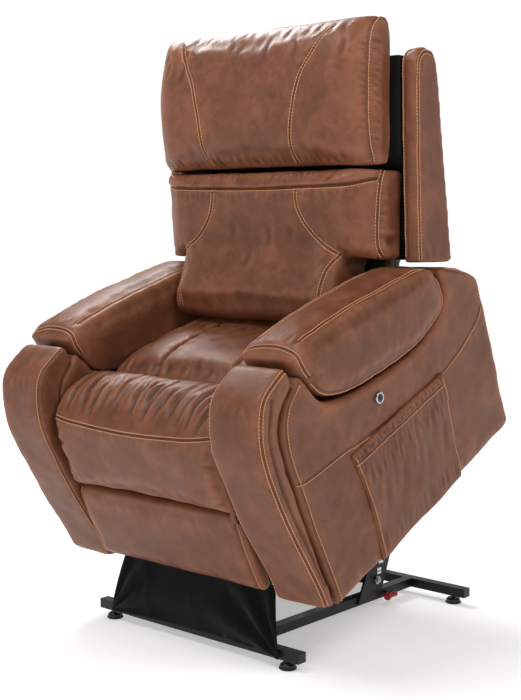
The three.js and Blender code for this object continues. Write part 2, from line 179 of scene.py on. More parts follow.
def outline(*stretches):
    """A closed side outline: a stretch of one or two points is straight, a longer one is a curve."""
    return np.vstack([spline(s) for s in stretches])


def side_line(x, points):
    """A curve seen from the side, at one distance from the middle of the chair or at a changing one."""
    line = spline(points)
    across = np.interp(np.linspace(0, 1, len(line)), np.linspace(0, 1, len(np.atleast_1d(x))),
                       np.atleast_1d(x))
    return np.column_stack([across, line])


def coords(obj):
    """The places of a mesh's vertices."""
    flat = np.empty(len(obj.data.vertices) * 3)
    obj.data.vertices.foreach_get("co", flat)
    return flat.reshape(-1, 3)


def set_coords(obj, co):
    obj.data.vertices.foreach_set("co", co.astype(np.float32).ravel())
    obj.data.update()


def normals(obj):
    """The directions its surface faces at its vertices."""
    flat = np.empty(len(obj.data.vertices) * 3, np.float32)
    obj.data.vertex_normals.foreach_get("vector", flat)
    return flat.reshape(-1, 3).astype(float)


def smoothstep(x, low, high):
    t = np.clip((x - low) / (high - low), 0, 1)
    return t * t * (3 - 2 * t)


def soft_noise(co, scale, seed):
    """A smooth uneven field from -1 to 1 whose lumps are about scale metres across."""
    rng = np.random.default_rng(seed)
    waves = rng.normal(size=(9, 3))
    waves *= (rng.uniform(0.6, 1.5, 9) * math.pi / scale / np.linalg.norm(waves, axis=1))[:, None]
    return np.sin(co @ waves.T + rng.uniform(0, 2 * math.pi, 9)).sum(1) / 4.5


def new_object(name, bm):
    mesh = bpy.data.meshes.new(name)
    bm.to_mesh(mesh)
    bm.free()
    obj = bpy.data.objects.new(name, mesh)
    bpy.context.scene.collection.objects.link(obj)
    return obj


def apply_modifiers(obj):
    graph = bpy.context.evaluated_depsgraph_get()
    mesh = bpy.data.meshes.new_from_object(obj.evaluated_get(graph))
    obj.modifiers.clear()
    old, obj.data = obj.data, mesh
    bpy.data.meshes.remove(old)


def block(bm, points, left, right):
    """A side outline in millimetres, extruded across the chair."""
    face = bm.faces.new([bm.verts.new((left * MM, y * MM, z * MM)) for y, z in points])
    grown = bmesh.ops.extrude_face_region(bm, geom=[face])["geom"]
    moved = [v for v in grown if isinstance(v, bmesh.types.BMVert)]
    bmesh.ops.translate(bm, verts=moved, vec=((right - left) * MM, 0, 0))


def turned(bm, profile, axis):
    """A profile turned once round an axis through the origin."""
    points = [bm.verts.new(place) for place in profile]
    for a, b in zip(points, points[1:]):
        bm.edges.new((a, b))
    bmesh.ops.spin(bm, geom=bm.verts[:] + bm.edges[:], cent=(0, 0, 0), axis=axis, angle=2 * math.pi,
                   steps=48,
                   use_merge=True, use_duplicate=False)
    bmesh.ops.recalc_face_normals(bm, faces=bm.faces[:])


def inflate(obj, pressure, cap):
    """Fills a closed cover with air. No point moves out by more than cap metres, or in by a third of that."""
    before, out = coords(obj), normals(obj)
    cloth = obj.modifiers.new("Cloth", "CLOTH")
    cloth.settings.quality = 4
    cloth.settings.use_pressure = True
    cloth.settings.uniform_pressure_force = pressure
    cloth.settings.effector_weights.gravity = 0
    cloth.collision_settings.use_collision = False
    cloth.point_cache.frame_end = 20
    for step in range(1, 21):
        bpy.context.scene.frame_set(step)
    apply_modifiers(obj)
    bpy.context.scene.frame_set(1)
    move = coords(obj) - before
    far = np.maximum(np.linalg.norm(move, axis=1), 1e-9)
    limit = np.where((move * out).sum(1) > 0, cap, cap / 3)
    set_coords(obj, before + move * (np.tanh(far / limit) * limit / far)[:, None])


def padding(name, blocks, grain, rounding, puff=0.0, ends=None, pressure=4.0):
    """A padded form: blocks merged to one skin, rounded, filled and made smooth. ends is for round_ends."""
    bm = bmesh.new()
    for points, left, right in blocks:
        block(bm, points, left, right)
    bmesh.ops.recalc_face_normals(bm, faces=bm.faces[:])
    obj = new_object(name, bm)
    skin = obj.modifiers.new("Remesh", "REMESH")
    skin.mode = "VOXEL"
    skin.voxel_size = grain
    apply_modifiers(obj)
    if ends:
        round_ends(obj, *ends)
    relax(obj, rounding)
    if puff:
        inflate(obj, pressure, puff)
        relax(obj, 2)
    fine = obj.modifiers.new("Subdivision", "SUBSURF")
    fine.levels = fine.render_levels = 1
    apply_modifiers(obj)
    return obj


def round_ends(obj, half, radius, front, rear):
    """Rounds a form's front corners, seen from above, less and less from its front's y to its rear's."""
    co = coords(obj)
    past = np.clip(np.abs(co[:, 0]) - (half - radius) * MM, 0, radius * MM * 0.98)
    drop = radius * MM - np.sqrt((radius * MM) ** 2 - past**2)
    share = np.clip((co[:, 1] - rear * MM) / ((front - rear) * MM), 0, 1.1)
    co[:, 1] += drop * share
    set_coords(obj, co)


def relax(obj, rounds):
    """Draws each vertex towards its neighbours, a number of times."""
    bm = bmesh.new()
    bm.from_mesh(obj.data)
    for _ in range(rounds):
        bmesh.ops.smooth_vert(bm, verts=bm.verts, factor=0.5, use_axis_x=True, use_axis_y=True,
                              use_axis_z=True)
    bm.to_mesh(obj.data)
    bm.free()


def mirrored(obj, name):
    """The right-hand copy of a left-hand piece."""
    bm = bmesh.new()
    bm.from_mesh(obj.data)
    bmesh.ops.scale(bm, verts=bm.verts, vec=(-1, 1, 1))
    bmesh.ops.reverse_faces(bm, faces=bm.faces)
    return new_object(name, bm)


# ---------------------------------------------------------------- sewing
class Seam:
    """A sewn line on a cover. Its points are millimetres in the piece's own frame, near the surface."""

    def __init__(self, line, depth=2.6, width=2.8, rows=(-1, 1), puff=0.2, valley=0.6):
        self.line = walk(np.asarray(line, float) * MM, 0.003)
        self.depth = depth * MM
        self.width = width * MM
        self.rows = rows
        self.puff = puff * MM
        self.valley = valley
        self.taper = False


class Crease(Seam):
    """A fold in the leather that dies out at both ends."""

    def __init__(self, line, depth=3.0, width=6.0):
        super().__init__(spline(line), depth, width, rows=(), puff=depth * 0.45)
        self.taper = True


def surface_of(obj):
    """A search tree of a mesh's faces."""
    bm = bmesh.new()
    bm.from_mesh(obj.data)
    tree = BVHTree.FromBMesh(bm)
    bm.free()
    return tree


def lay_on(tree, line):
    """The line moved to the nearest points of a surface, and the normals there."""
    spots = [tree.find_nearest(Vector(p)) for p in line]
    return np.array([s[0] for s in spots]), np.array([s[1] for s in spots])


def evened(points, rounds):
    """Points along a line, each drawn towards its neighbours."""
    v = np.array(points, float)
    for _ in range(rounds):
        v[1:-1] = (v[:-2] + 2 * v[1:-1] + v[2:]) / 4
    return v


def steady(vectors, rounds):
    """Directions along a line, evened out with their neighbours and made one unit long."""
    v = evened(vectors, rounds)
    return v / np.maximum(np.linalg.norm(v, axis=1), 1e-9)[:, None]


def refine_near(obj, near, reach):
    """Halves the edges of a cover within reach of the points of a tree."""
    bm = bmesh.new()
    bm.from_mesh(obj.data)
    close = {v for v in bm.verts if near.find(v.co)[2] < reach}
    edges = [e for e in bm.edges if e.verts[0] in close and e.verts[1] in close]
    bmesh.ops.subdivide_edges(bm, edges=edges, cuts=1, use_grid_fill=True)
    bm.to_mesh(obj.data)
    bm.free()


def tree_of(points):
    """A search tree of points."""
    near = kdtree.KDTree(len(points))
    for i, point in enumerate(points):
        near.insert(point, i)
    near.balance()
    return near


def carve(obj, seams):
    """Sinks each seam into the cover and lets the leather stand up on both sides of it."""
    tree = surface_of(obj)
    samples = []
    for seam in seams:
        laid, _ = lay_on(tree, seam.line)
        seam.on_surface, up = lay_on(tree, evened(laid, 12))
        seam.on_surface = evened(seam.on_surface, 4)
        seam.up = steady(up, 8)
        count = len(seam.on_surface)
        ends = np.sin(np.linspace(0.02, 0.98, count) * math.pi) ** 0.7 if seam.taper else np.ones(count)
        samples += [(p, seam, e) for p, e in zip(seam.on_surface, ends)]
    if not samples:
        return
    sewn = [p for p, seam, _ in samples if not seam.taper]
    if sewn:
        refine_near(obj, tree_of(sewn), 0.011)
    near = tree_of([p for p, _, _ in samples])
    co, no = coords(obj), normals(obj)
    lift = np.zeros(len(co))
    reach = max((4.5 if s.taper else 9) * s.width for s in seams)
    for i, point in enumerate(co):
        seen = {}
        for _, k, distance in near.find_range(point, reach):
            seam = samples[k][1]
            if seam not in seen or distance < seen[seam][0]:
                seen[seam] = (distance, samples[k][2])
        for seam, (distance, end) in seen.items():
            d = distance / seam.width
            fall = math.exp(-d * d)
            if not seam.taper:
                fall += seam.valley * math.exp(-((d / 4) ** 2))
            lift[i] += end * (seam.puff * math.exp(-((d - 2.4) ** 2)) - seam.depth * fall)
    set_coords(obj, co + no * lift[:, None])


def stitch(obj, name, seams):
    """Rows of thread along both sides of each seam, each stitch dipping into the leather at its ends."""
    tree = surface_of(obj)
    s = sizes()
    curve = bpy.data.curves.new(name, "CURVE")
    curve.dimensions = "3D"
    curve.bevel_depth = s.thread_radius
    curve.bevel_resolution = 1
    curve.use_fill_caps = True
    curve.resolution_u = 1
    for seam in seams:
        for row in seam.rows:
            ahead = steady(np.gradient(seam.on_surface, axis=0), 4)
            across = steady(np.cross(seam.up, ahead), 6)
            beside = walk(np.hstack([seam.on_surface + across * row * s.row_offset, seam.up]),
                          s.stitch_pitch)
            path, up = beside[:, :3], beside[:, 3:]
            for i, (point, normal) in enumerate(zip(path, up)):
                hit = tree.ray_cast(Vector(point + normal * 0.012), Vector(-normal), 0.03)[0]
                path[i] = hit if hit else tree.find_nearest(Vector(point))[0]
            for start, end, normal in zip(path, path[1:], up):
                gap = end - start
                length = np.linalg.norm(gap)
                if length < s.stitch_pitch / 2 or length > 2 * s.stitch_pitch:
                    continue
                run = gap / length * s.stitch_length
                thread = curve.splines.new("POLY")
                thread.points.add(3)
                heights = (-0.5, 0.75, 0.75, -0.5)
                for point, share, height in zip(thread.points, (0, 0.2, 0.8, 1), heights):
                    point.co = (*(start + run * share + normal * s.thread_radius * height), 1)
    loose = bpy.data.objects.new(name + "_curve", curve)
    bpy.context.scene.collection.objects.link(loose)
    graph = bpy.context.evaluated_depsgraph_get()
    mesh = bpy.data.meshes.new_from_object(loose.evaluated_get(graph))
    bpy.data.objects.remove(loose)
    made = bpy.data.objects.new(name, mesh)
    bpy.context.scene.collection.objects.link(made)
    mesh.materials.clear()
    mesh.materials.append(thread_material())
    mesh.shade_smooth()
    return made


def mark_relief(obj, rounds=26, full=0.0022):
    """Stores how far each point stands out of the smoothed surface, from -1 in a fold to 1 on a ridge."""
    co, no = coords(obj), normals(obj)
    edges = np.empty(len(obj.data.edges) * 2, np.int64)
    obj.data.edges.foreach_get("vertices", edges)
    a, b = edges.reshape(-1, 2).T
    count = np.bincount(a, minlength=len(co)) + np.bincount(b, minlength=len(co))
    smooth = co.copy()
    for _ in range(rounds):
        total = np.column_stack([
            np.bincount(a, smooth[b, k], len(co)) + np.bincount(b, smooth[a, k],
                                                                len(co)) for k in range(3)])
        smooth = total / np.maximum(count, 1)[:, None]
    # The leather's colour darkens with this in folds and lightens on ridges: painted shade and painted
    # highlight.
    relief = np.clip(((co - smooth) * no).sum(1) / full, -1, 1)
    layer = obj.data.attributes.new("relief", "FLOAT", "POINT")
    layer.data.foreach_set("value", relief.astype(np.float32))


def upholster(obj, place, body, nodes, seams=(), creases=(), uneven=0.7, mirror=None):
    co, no = coords(obj), normals(obj)
    lumps = soft_noise(co, 0.09, len(obj.name)) + 0.5 * soft_noise(co, 0.035, len(obj.name) + 7)
    set_coords(obj, co + no * (lumps * uneven * MM)[:, None])
    carve(obj, [*seams, *creases])
    sewn = [s for s in seams if s.rows]
    threads = stitch(obj, obj.name + "_stitching", sewn) if sewn else None
    made = [(obj, threads, nodes)]
    if mirror:
        other = mirrored(obj, mirror["name"])
        other_threads = None
        if threads:
            other_threads = mirrored(threads, mirror["name"] + "_stitching")
            other_threads.data.materials.append(thread_material())
            other_threads.data.shade_smooth()
        made.append((other, other_threads, mirror["nodes"]))
    for piece, thread, replaced in made:
        mark_relief(piece)
        piece.data.transform(place)
        piece.data.shade_smooth()
        piece.data.materials.clear()
        piece.data.materials.append(leather_material())
        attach(piece, body)
        if replaced:
            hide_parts(*replaced)
        if thread:
            thread.data.transform(place)
            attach(thread, body)


# ---------------------------------------------------------------- materials
def linear(hex_colour):
    """sRGB hex to linear red, green, blue and alpha."""
    parts = [int(hex_colour[i:i + 2], 16) / 255 for i in (1, 3, 5)]
    return (*[c / 12.92 if c <= 0.04045 else ((c + 0.055) / 1.055) ** 2.4 for c in parts], 1)


def node(tree, kind, settings=None, links=None, stops=()):
    """Adds a node, sets its properties, input values and colour stops, and links its inputs."""
    made = tree.nodes.new(kind)
    for key, value in (settings or {}).items():
        if isinstance(key, str) and hasattr(made, key) and key not in made.inputs:
            setattr(made, key, value)
        else:
            made.inputs[key].default_value = value
    for key, source in (links or {}).items():
        tree.links.new(source, made.inputs[key])
    for _ in stops[2:]:
        made.color_ramp.elements.new(0.5)
    for i, (position, colour) in enumerate(stops):
        element = made.color_ramp.elements[i]
        element.position = position
        element.color = linear(colour) if isinstance(colour, str) else (colour, colour, colour, 1)
    return made


def start_material(name):
    material = bpy.data.materials.new(name)
    material.use_nodes = True
    tree = material.node_tree
    tree.nodes.clear()
    place = node(tree, "ShaderNodeTexCoord").outputs["Object"]
    return material, tree, place


def end_material(material, tree, settings, links):
    shader = node(tree, "ShaderNodeBsdfPrincipled", settings, links)
    node(tree, "ShaderNodeOutputMaterial", None, {"Surface": shader.outputs["BSDF"]})
    return material


MADE = {}


def once(build):
    """Builds a material the first time it is asked for."""
    def get():
        if build.__name__ not in MADE:
            MADE[build.__name__] = build()
        return MADE[build.__name__]
    return get


@once
def leather_material():
    # Pull-up leather: cowhide waxed after dyeing, with soft clouds of colour a hand's width across and a fine
    # pebbled grain. Its colour also follows the cover's relief. Part of that is the wax's real lightening
    # where it is stretched over padding. The rest is painted shade in its folds and seams and painted
    # highlight on its ridges.
    material, tree, place = start_material("pull_up_leather")
    c = colours()
    relief = node(tree, "ShaderNodeAttribute", {"attribute_name": "relief"}).outputs["Fac"]
    clouds = node(tree, "ShaderNodeTexNoise", {"Scale": 9.0, "Detail": 4.0, "Roughness": 0.55,
                                               "Distortion": 0.5},
                  {"Vector": place}).outputs["Fac"]
    patches = node(tree, "ShaderNodeTexNoise", {"Scale": 34.0, "Detail": 5.0, "Roughness": 0.6,
                                                "Distortion": 0.8},
                   {"Vector": place}).outputs["Fac"]
    cloudy = node(tree, "ShaderNodeMath", {"operation": "MULTIPLY_ADD", 1: 0.38, 2: 0.13}, {0: clouds})
    tone = node(tree, "ShaderNodeMath", {"operation": "MULTIPLY_ADD", 1: 0.36},
                {0: patches, 2: cloudy.outputs[0]})
    # Painted shade and highlight: the relief darkens folds and seams and lightens ridges, on top of the
    # random tone.
    stretch_and_shade = node(tree, "ShaderNodeMath", {"operation": "MULTIPLY_ADD", 1: 0.15},
                {0: relief, 2: tone.outputs[0]})
    dye_and_shade = [(0.26, c.leather_dark_and_fold_shade), (0.5, c.leather_mid), (0.74, c.leather_light_and_ridge_highlight)]
    colour = node(tree, "ShaderNodeValToRGB", None, {"Fac": stretch_and_shade.outputs[0]}, dye_and_shade).outputs["Color"]
    grain = node(tree, "ShaderNodeTexVoronoi", {"Scale": 620.0, "Randomness": 1.0, "feature": "SMOOTH_F1"},
                 {"Vector": place}).outputs["Distance"]
    hairline = node(tree, "ShaderNodeTexNoise", {"Scale": 120.0, "Detail": 6.0, "Roughness": 0.65,
                                                 "Distortion": 1.6},
                    {"Vector": place}).outputs["Fac"]
    pores = node(tree, "ShaderNodeBump", {"Strength": 0.30, "Distance": 0.0006}, {"Height": grain})
    creases = node(tree, "ShaderNodeBump", {"Strength": 0.42, "Distance": 0.0012},
                   {"Height": hairline, "Normal": pores.outputs["Normal"]})
    gloss = node(tree, "ShaderNodeValToRGB", None, {"Fac": patches},
                 [(0.3, 0.36), (0.7, 0.50)]).outputs["Color"]
    return end_material(
        material, tree, {"IOR": 1.48, "Specular IOR Level": 0.27},
        {"Base Color": colour, "Roughness": gloss, "Normal": creases.outputs["Normal"]})


@once
def thread_material():
    # Bonded polyester thread: twisted plies, so its colour flickers along each stitch.
    material, tree, place = start_material("polyester_thread")
    twist = node(tree, "ShaderNodeTexNoise", {"Scale": 900.0, "Detail": 2.0},
                 {"Vector": place}).outputs["Fac"]
    colour = node(tree, "ShaderNodeValToRGB", None, {"Fac": twist},
                  [(0.3, "#B87A4E"), (0.7, colours().thread)]).outputs["Color"]
    return end_material(material, tree, {"Roughness": 0.6, "Sheen Weight": 0.2}, {"Base Color": colour})


@once
def powder_coat():
    # Powder-coated steel: baked polyester paint with a fine orange-peel skin.
    material, tree, place = start_material("black_powder_coat")
    peel = node(tree, "ShaderNodeTexNoise", {"Scale": 700.0, "Detail": 3.0},
                {"Vector": place}).outputs["Fac"]
    dust = node(tree, "ShaderNodeTexNoise", {"Scale": 22.0, "Detail": 5.0},
                {"Vector": place}).outputs["Fac"]
    colour = node(tree, "ShaderNodeValToRGB", None, {"Fac": dust},
                  [(0.35, "#08080A"), (0.75, "#111113")]).outputs["Color"]
    rough = node(tree, "ShaderNodeValToRGB", None, {"Fac": dust},
                 [(0.3, 0.34), (0.7, 0.5)]).outputs["Color"]
    bump = node(tree, "ShaderNodeBump", {"Strength": 0.25, "Distance": 0.0003}, {"Height": peel})
    return end_material(material, tree, {"IOR": 1.5, "Specular IOR Level": 0.3}, {
        "Base Color": colour, "Roughness": rough, "Normal": bump.outputs["Normal"]})


@once
def zinc_plate():
    # Bright zinc plate on steel: bluish, with faint cloudy passivation.
    material, tree, place = start_material("zinc_plate")
    cloud = node(tree, "ShaderNodeTexNoise", {"Scale": 90.0, "Detail": 4.0},
                 {"Vector": place}).outputs["Fac"]
    colour = node(tree, "ShaderNodeValToRGB", None, {"Fac": cloud},
                  [(0.3, "#9EA3A8"), (0.7, "#CDD1D4")]).outputs["Color"]
    rough = node(tree, "ShaderNodeValToRGB", None, {"Fac": cloud},
                 [(0.3, 0.22), (0.7, 0.38)]).outputs["Color"]
    return end_material(material, tree, {"Metallic": 1.0}, {"Base Color": colour, "Roughness": rough})


@once
def moulded_plastic():
    # Injection-moulded polypropylene with a spark-eroded matt skin.
    material, tree, place = start_material("moulded_black_plastic")
    skin = node(tree, "ShaderNodeTexNoise", {"Scale": 1400.0, "Detail": 2.0},
                {"Vector": place}).outputs["Fac"]
    tone = node(tree, "ShaderNodeTexNoise", {"Scale": 30.0, "Detail": 3.0},
                {"Vector": place}).outputs["Fac"]
    colour = node(tree, "ShaderNodeValToRGB", None, {"Fac": tone},
                  [(0.3, "#070708"), (0.7, "#0E0E0F")]).outputs["Color"]
    bump = node(tree, "ShaderNodeBump", {"Strength": 0.3, "Distance": 0.0002}, {"Height": skin})
    return end_material(material, tree, {"Roughness": 0.46, "IOR": 1.49}, {
        "Base Color": colour, "Normal": bump.outputs["Normal"]})


@once
def red_plastic():
    # Glossy red moulded plastic of the lock pin, with faint flow marks.
    material, tree, place = start_material("red_moulded_plastic")
    flow = node(tree, "ShaderNodeTexNoise", {"Scale": 60.0, "Detail": 2.0, "Distortion": 1.0},
                {"Vector": place}).outputs["Fac"]
    colour = node(tree, "ShaderNodeValToRGB", None, {"Fac": flow},
                  [(0.3, "#7E0F14"), (0.7, "#A51A1F")]).outputs["Color"]
    return end_material(material, tree, {"Roughness": 0.3, "IOR": 1.5}, {"Base Color": colour})


@once
def lining_cloth():
    # Woven polyester lining: a plain weave 1 mm apart, drawn as coarse as it shows.
    material, tree, place = start_material("black_lining_cloth")
    weave_scale = 2 * math.pi / 0.001 / 20
    warp = node(tree, "ShaderNodeTexWave", {"Scale": weave_scale, "bands_direction": "X"},
                {"Vector": place})
    weft = node(tree, "ShaderNodeTexWave", {"Scale": weave_scale, "bands_direction": "Z"},
                {"Vector": place})
    weave = node(tree, "ShaderNodeMath", {"operation": "MULTIPLY"},
                 {0: warp.outputs["Fac"], 1: weft.outputs["Fac"]})
    fade = node(tree, "ShaderNodeTexNoise", {"Scale": 12.0, "Detail": 4.0},
                {"Vector": place}).outputs["Fac"]
    colour = node(tree, "ShaderNodeValToRGB", None, {"Fac": fade},
                  [(0.3, "#060608"), (0.7, "#0D0D10")]).outputs["Color"]
    bump = node(tree, "ShaderNodeBump", {"Strength": 0.4, "Distance": 0.0004}, {"Height": weave.outputs[0]})
    return end_material(material, tree, {"Roughness": 0.9, "Sheen Weight": 0.04, "Specular IOR Level": 0.2},
                        {
        "Base Color": colour, "Normal": bump.outputs["Normal"]})


@once
def birch_plywood():
    # Birch plywood, sawn and unfinished: pale, with long grain across the chair.
    material, tree, place = start_material("birch_plywood")
    stretched = node(tree, "ShaderNodeMapping", {"Scale": (2.0, 60.0, 60.0)},
                     {"Vector": place}).outputs["Vector"]
    grain = node(tree, "ShaderNodeTexNoise", {"Scale": 3.0, "Detail": 6.0, "Distortion": 0.6},
                 {"Vector": stretched}).outputs["Fac"]
    colour = node(tree, "ShaderNodeValToRGB", None, {"Fac": grain},
                  [(0.3, "#9C774C"), (0.7, "#C8A778")]).outputs["Color"]
    return end_material(material, tree, {"Roughness": 0.7}, {"Base Color": colour})


@once
def label_vinyl():
    # Matt white vinyl label with grey bars instead of printing.
    material, tree, place = start_material("label_vinyl")
    bars = node(tree, "ShaderNodeTexWave", {"Scale": 32.0, "bands_direction": "Z", "wave_profile": "SIN"},
                {"Vector": place}).outputs["Fac"]
    printed = node(tree, "ShaderNodeValToRGB", None, {"Fac": bars}, [(0.70, "#D9D9D6"), (0.78, "#77787A")])
    printed.color_ramp.interpolation = "CONSTANT"
    return end_material(material, tree, {"Roughness": 0.45}, {"Base Color": printed.outputs["Color"]})


@once
def light_table():
    # White floor with a painted glow standing in for studio light: it emits less near the chair and more away
    # from it.
    material, tree, place = start_material("opal_light_table")
    cloud = node(tree, "ShaderNodeTexNoise", {"Scale": 0.8, "Detail": 2.0},
                 {"Vector": place}).outputs["Fac"]
    colour = node(tree, "ShaderNodeValToRGB", None, {"Fac": cloud},
                  [(0.3, "#F3F3F3"), (0.7, "#F6F6F6")]).outputs["Color"]
    # Painted light: the floor's glow grows from near the chair outwards.
    away = node(tree, "ShaderNodeVectorMath", {"operation": "LENGTH"}, {0: place}).outputs["Value"]
    glow = node(tree, "ShaderNodeMapRange", {"From Min": 0.8, "From Max": 3.0, "To Min": 0.37,
                                             "To Max": 0.75},
                {"Value": away}).outputs["Result"]
    return end_material(material, tree, {
        "Roughness": 0.9, "Specular IOR Level": 0.1, "Emission Color": (1, 1, 1, 1),
    }, {"Base Color": colour, "Emission Strength": glow})


# ---------------------------------------------------------------- back
def gathers(start, end, count, length, depth, width, seed):
    """Small puckers along a sewn line from start to end, each running off it by about length."""
    rng = np.random.default_rng(seed)
    start, end, length = (np.asarray(v, float) for v in (start, end, length))
    made = []
    for i in range(count):
        foot = start + (end - start) * (i + rng.uniform(0.2, 0.8)) / count
        reach = length * rng.uniform(0.5, 1.25)
        bend = (end - start) / np.linalg.norm(end - start) * rng.uniform(-4, 4)
        made.append(Crease([foot, foot + reach * 0.5 + bend * 0.4, foot + reach + bend],
                           depth * rng.uniform(0.5, 1.2), width * rng.uniform(0.8, 1.2)))
    return made


PILLOW = outline([(-37, 1200), (-50, 1180)], [(-122, 1179)],
                 [(-152, 1205), (-163, 1290), (-160, 1400), (-140, 1501), (-95, 1541)],
                 [(-50, 1533), (-37, 1501)])
LUMBAR_TOP = outline([(10, 958), (-92, 958)], [(-112, 978), (-122, 1058), (-128, 1125), (-140, 1152),
                                               (-128, 1178)],
                     [(10, 1178)])
LUMBAR_LOW = outline([(-12, 812)], [(-120, 787), (-160, 812), (-166, 850), (-148, 900), (-112, 1008)],
                     [(8, 1008)])


def make_pillow():
    pillow = padding("head_pillow_cover", [(PILLOW, -BACK_HALF, BACK_HALF)], sizes().cushion_grain, 5,
                     0.016, ends=(BACK_HALF, 95, -160, -44))
    curve = [(245, -150, 1528), (222, -160, 1470), (178, -170, 1395), (156, -172, 1300), (148, -160, 1230),
             (142, -130, 1192)]
    seams = []
    for side in SIDES:
        seams.append(Seam(spline([(side * x, y, z) for x, y, z in curve])))
        seams.append(Seam(spline([(side * x, y, z) for x, y, z in [
            (338, -62, 1536), (343, -98, 1518), (345, -116, 1470), (345, -120, 1380), (345, -120, 1290),
            (342, -108, 1225), (336, -88, 1192)]]), *ONE_ROW, rows=(side,)))
    creases = []
    for side in SIDES:
        creases += gathers((side * 341, -116, 1500), (side * 341, -122, 1240), 28, (-side * 14, -10, 4),
                           1.7, 3.4, 3)
        creases += gathers((side * 350, -106, 1490), (side * 352, -106, 1240), 20, (side * 5, 26, -3), 1.8,
                           4.0, 4)
        creases += gathers((side * 250, -146, 1512), (side * 180, -166, 1400), 8, (-side * 26, -2, -12),
                           1.6, 6.0, 9)
    creases += gathers((-310, -116, 1534), (310, -116, 1534), 15, (4, -34, -40), 1.5, 7.0, 5)
    creases += gathers((-300, -125, 1192), (300, -125, 1192), 26, (0, -24, 22), 1.9, 5.0, 6)
    for x, z, run, deep in ((-222, 1500, -95, 3.6), (-300, 1500, -40, 3.0), (-282, 1480, -52, 2.6),
                            (60, 1516, -70, 2.2), (-60, 1518, -50, 1.8), (150, 1500, -64, 2.2),
                            (300, 1490, -56, 2.6)):
        creases.append(Crease([(x, -150, z), (x + 6, -164, z + run * 0.5), (x - 3, -170, z + run)], deep,
                              7.0))
    upholster(pillow, BACK_FRAME, "backrest", ["head_pillow"], seams, creases, uneven=1.6)


def make_lumbar():
    blocks = [(LUMBAR_TOP, -BACK_HALF, BACK_HALF), (LUMBAR_LOW, -268, 268)]
    lumbar = padding("lumbar_cushion_cover", blocks, sizes().cushion_grain, 5, 0.016,
                     ends=(BACK_HALF, 80, -130, 0))
    welt = spline([(-352, -80, 1150), (-322, -108, 1145), (-240, -130, 1137), (-120, -136, 1132),
                   (0, -138, 1130), (120, -136, 1132), (240, -130, 1137), (322, -108, 1145),
                   (352, -80, 1150)])
    seams = [Seam(welt, 6.0, 4.0, rows=(-1,), puff=1.0)]
    curve = [(140, -128, 1132), (146, -130, 1080), (178, -128, 1030), (222, -124, 990), (262, -116, 966)]
    for side in SIDES:
        seams.append(Seam(spline([(side * x, y, z) for x, y, z in curve])))
        seams.append(Seam(side_line(side * 348, [(-56, 1174), (-72, 1155), (-80, 1058), (-76, 985),
                                                 (-56, 962)])))
        seams.append(Seam(spline([(side * x, y, z) for x, y, z in
                                  [(262, -116, 966), (240, -140, 930), (236, -162, 880),
                                   (238, -160, 822)]])))
    creases = gathers((-325, -120, 1176), (325, -120, 1176), 60, (0, -18, -22), 1.3, 3.8, 21)
    creases += gathers((-330, -134, 1126), (330, -134, 1126), 36, (0, 2, -26), 1.3, 4.4, 22)
    for side in SIDES:
        creases += gathers((side * 352, -76, 1130), (side * 352, -76, 985), 16, (side * 4, 26, 2), 1.6, 4.0,
                           23)
        creases += gathers((side * 300, -112, 972), (side * 200, -118, 972), 8, (side * 4, -2, 34), 2.0,
                           6.0, 24)
        creases.append(Crease([(side * 354, -66, 1012), (side * 361, -40, 1000), (side * 361, -6, 1004)],
                              5.0, 9.0))
    for x, z, run, deep in ((-80, 1000, 40, 2.6), (40, 985, 52, 2.4), (110, 1000, 34, 2.0),
                            (-20, 930, 46, 2.2)):
        creases.append(Crease([(x, -140, z), (x + 8, -136, z + run * 0.5), (x + 4, -134, z + run)], deep,
                              8.0))
    upholster(lumbar, BACK_FRAME, "backrest", ["lumbar_cushion"], seams, creases, uneven=1.6)


WING = outline([(-8, 948), (-18, 1108), (-30, 1390), (-25, 1445), (5, 1465)],
               [(40, 1461), (56, 1440), (70, 1390)],
               [(139, 954)], [(130, 948)])


def make_wings():
    wing = padding("wing_left_cover", [(WING, 374.5, 420)], 0.006, 5)
    front = [(-12, 962), (-20, 1108), (-32, 1390), (-26, 1442), (5, 1463), (38, 1458), (55, 1436)]
    seams = [
        Seam(side_line(386, front[:5]), *ONE_ROW, rows=(1,)),
        Seam(side_line(420, [(2, 956), (-8, 1108), (-19, 1385), (-13, 1436), (10, 1454), (40, 1450)])),
    ]
    creases = gathers((420, 10, 958), (420, 110, 958), 7, (0, 4, 30), 1.3, 8.0, 31)
    upholster(wing, BACK_FRAME, "backrest", ["wing_left"], seams, creases, uneven=0.8,
              mirror={"name": "wing_right_cover", "nodes": ["wing_right"]})


def make_rear_panel():
    upper = outline([(64, 956), (132, 954)], [(134, 960), (70, 1385), (54, 1446), (47, 1450)], [(46, 1450)])
    lower = outline([(62, 774), (116, 774)], [(132, 800)], [(132, 966)], [(62, 966)])
    panel = padding("back_rear_cover", [(upper, -REAR_HALF, REAR_HALF), (lower, -271, 271)],
                    sizes().panel_grain * 0.76, 4)
    seams = []
    for side in SIDES:
        seams.append(Seam(side_line(side * 250, [(58, 1436), (76, 1385), (133, 975), (133, 810)])))
    seams.append(Seam([(x, 134, 962) for x in range(-360, 361, 10)], rows=(-1, 1)))
    creases = gathers((-340, 118, 1040), (340, 118, 1040), 12, (0, -10, 60), 1.6, 9.0, 41)
    upholster(panel, BACK_FRAME, "backrest", ["back_rear_panel"], seams, creases, uneven=1.4)


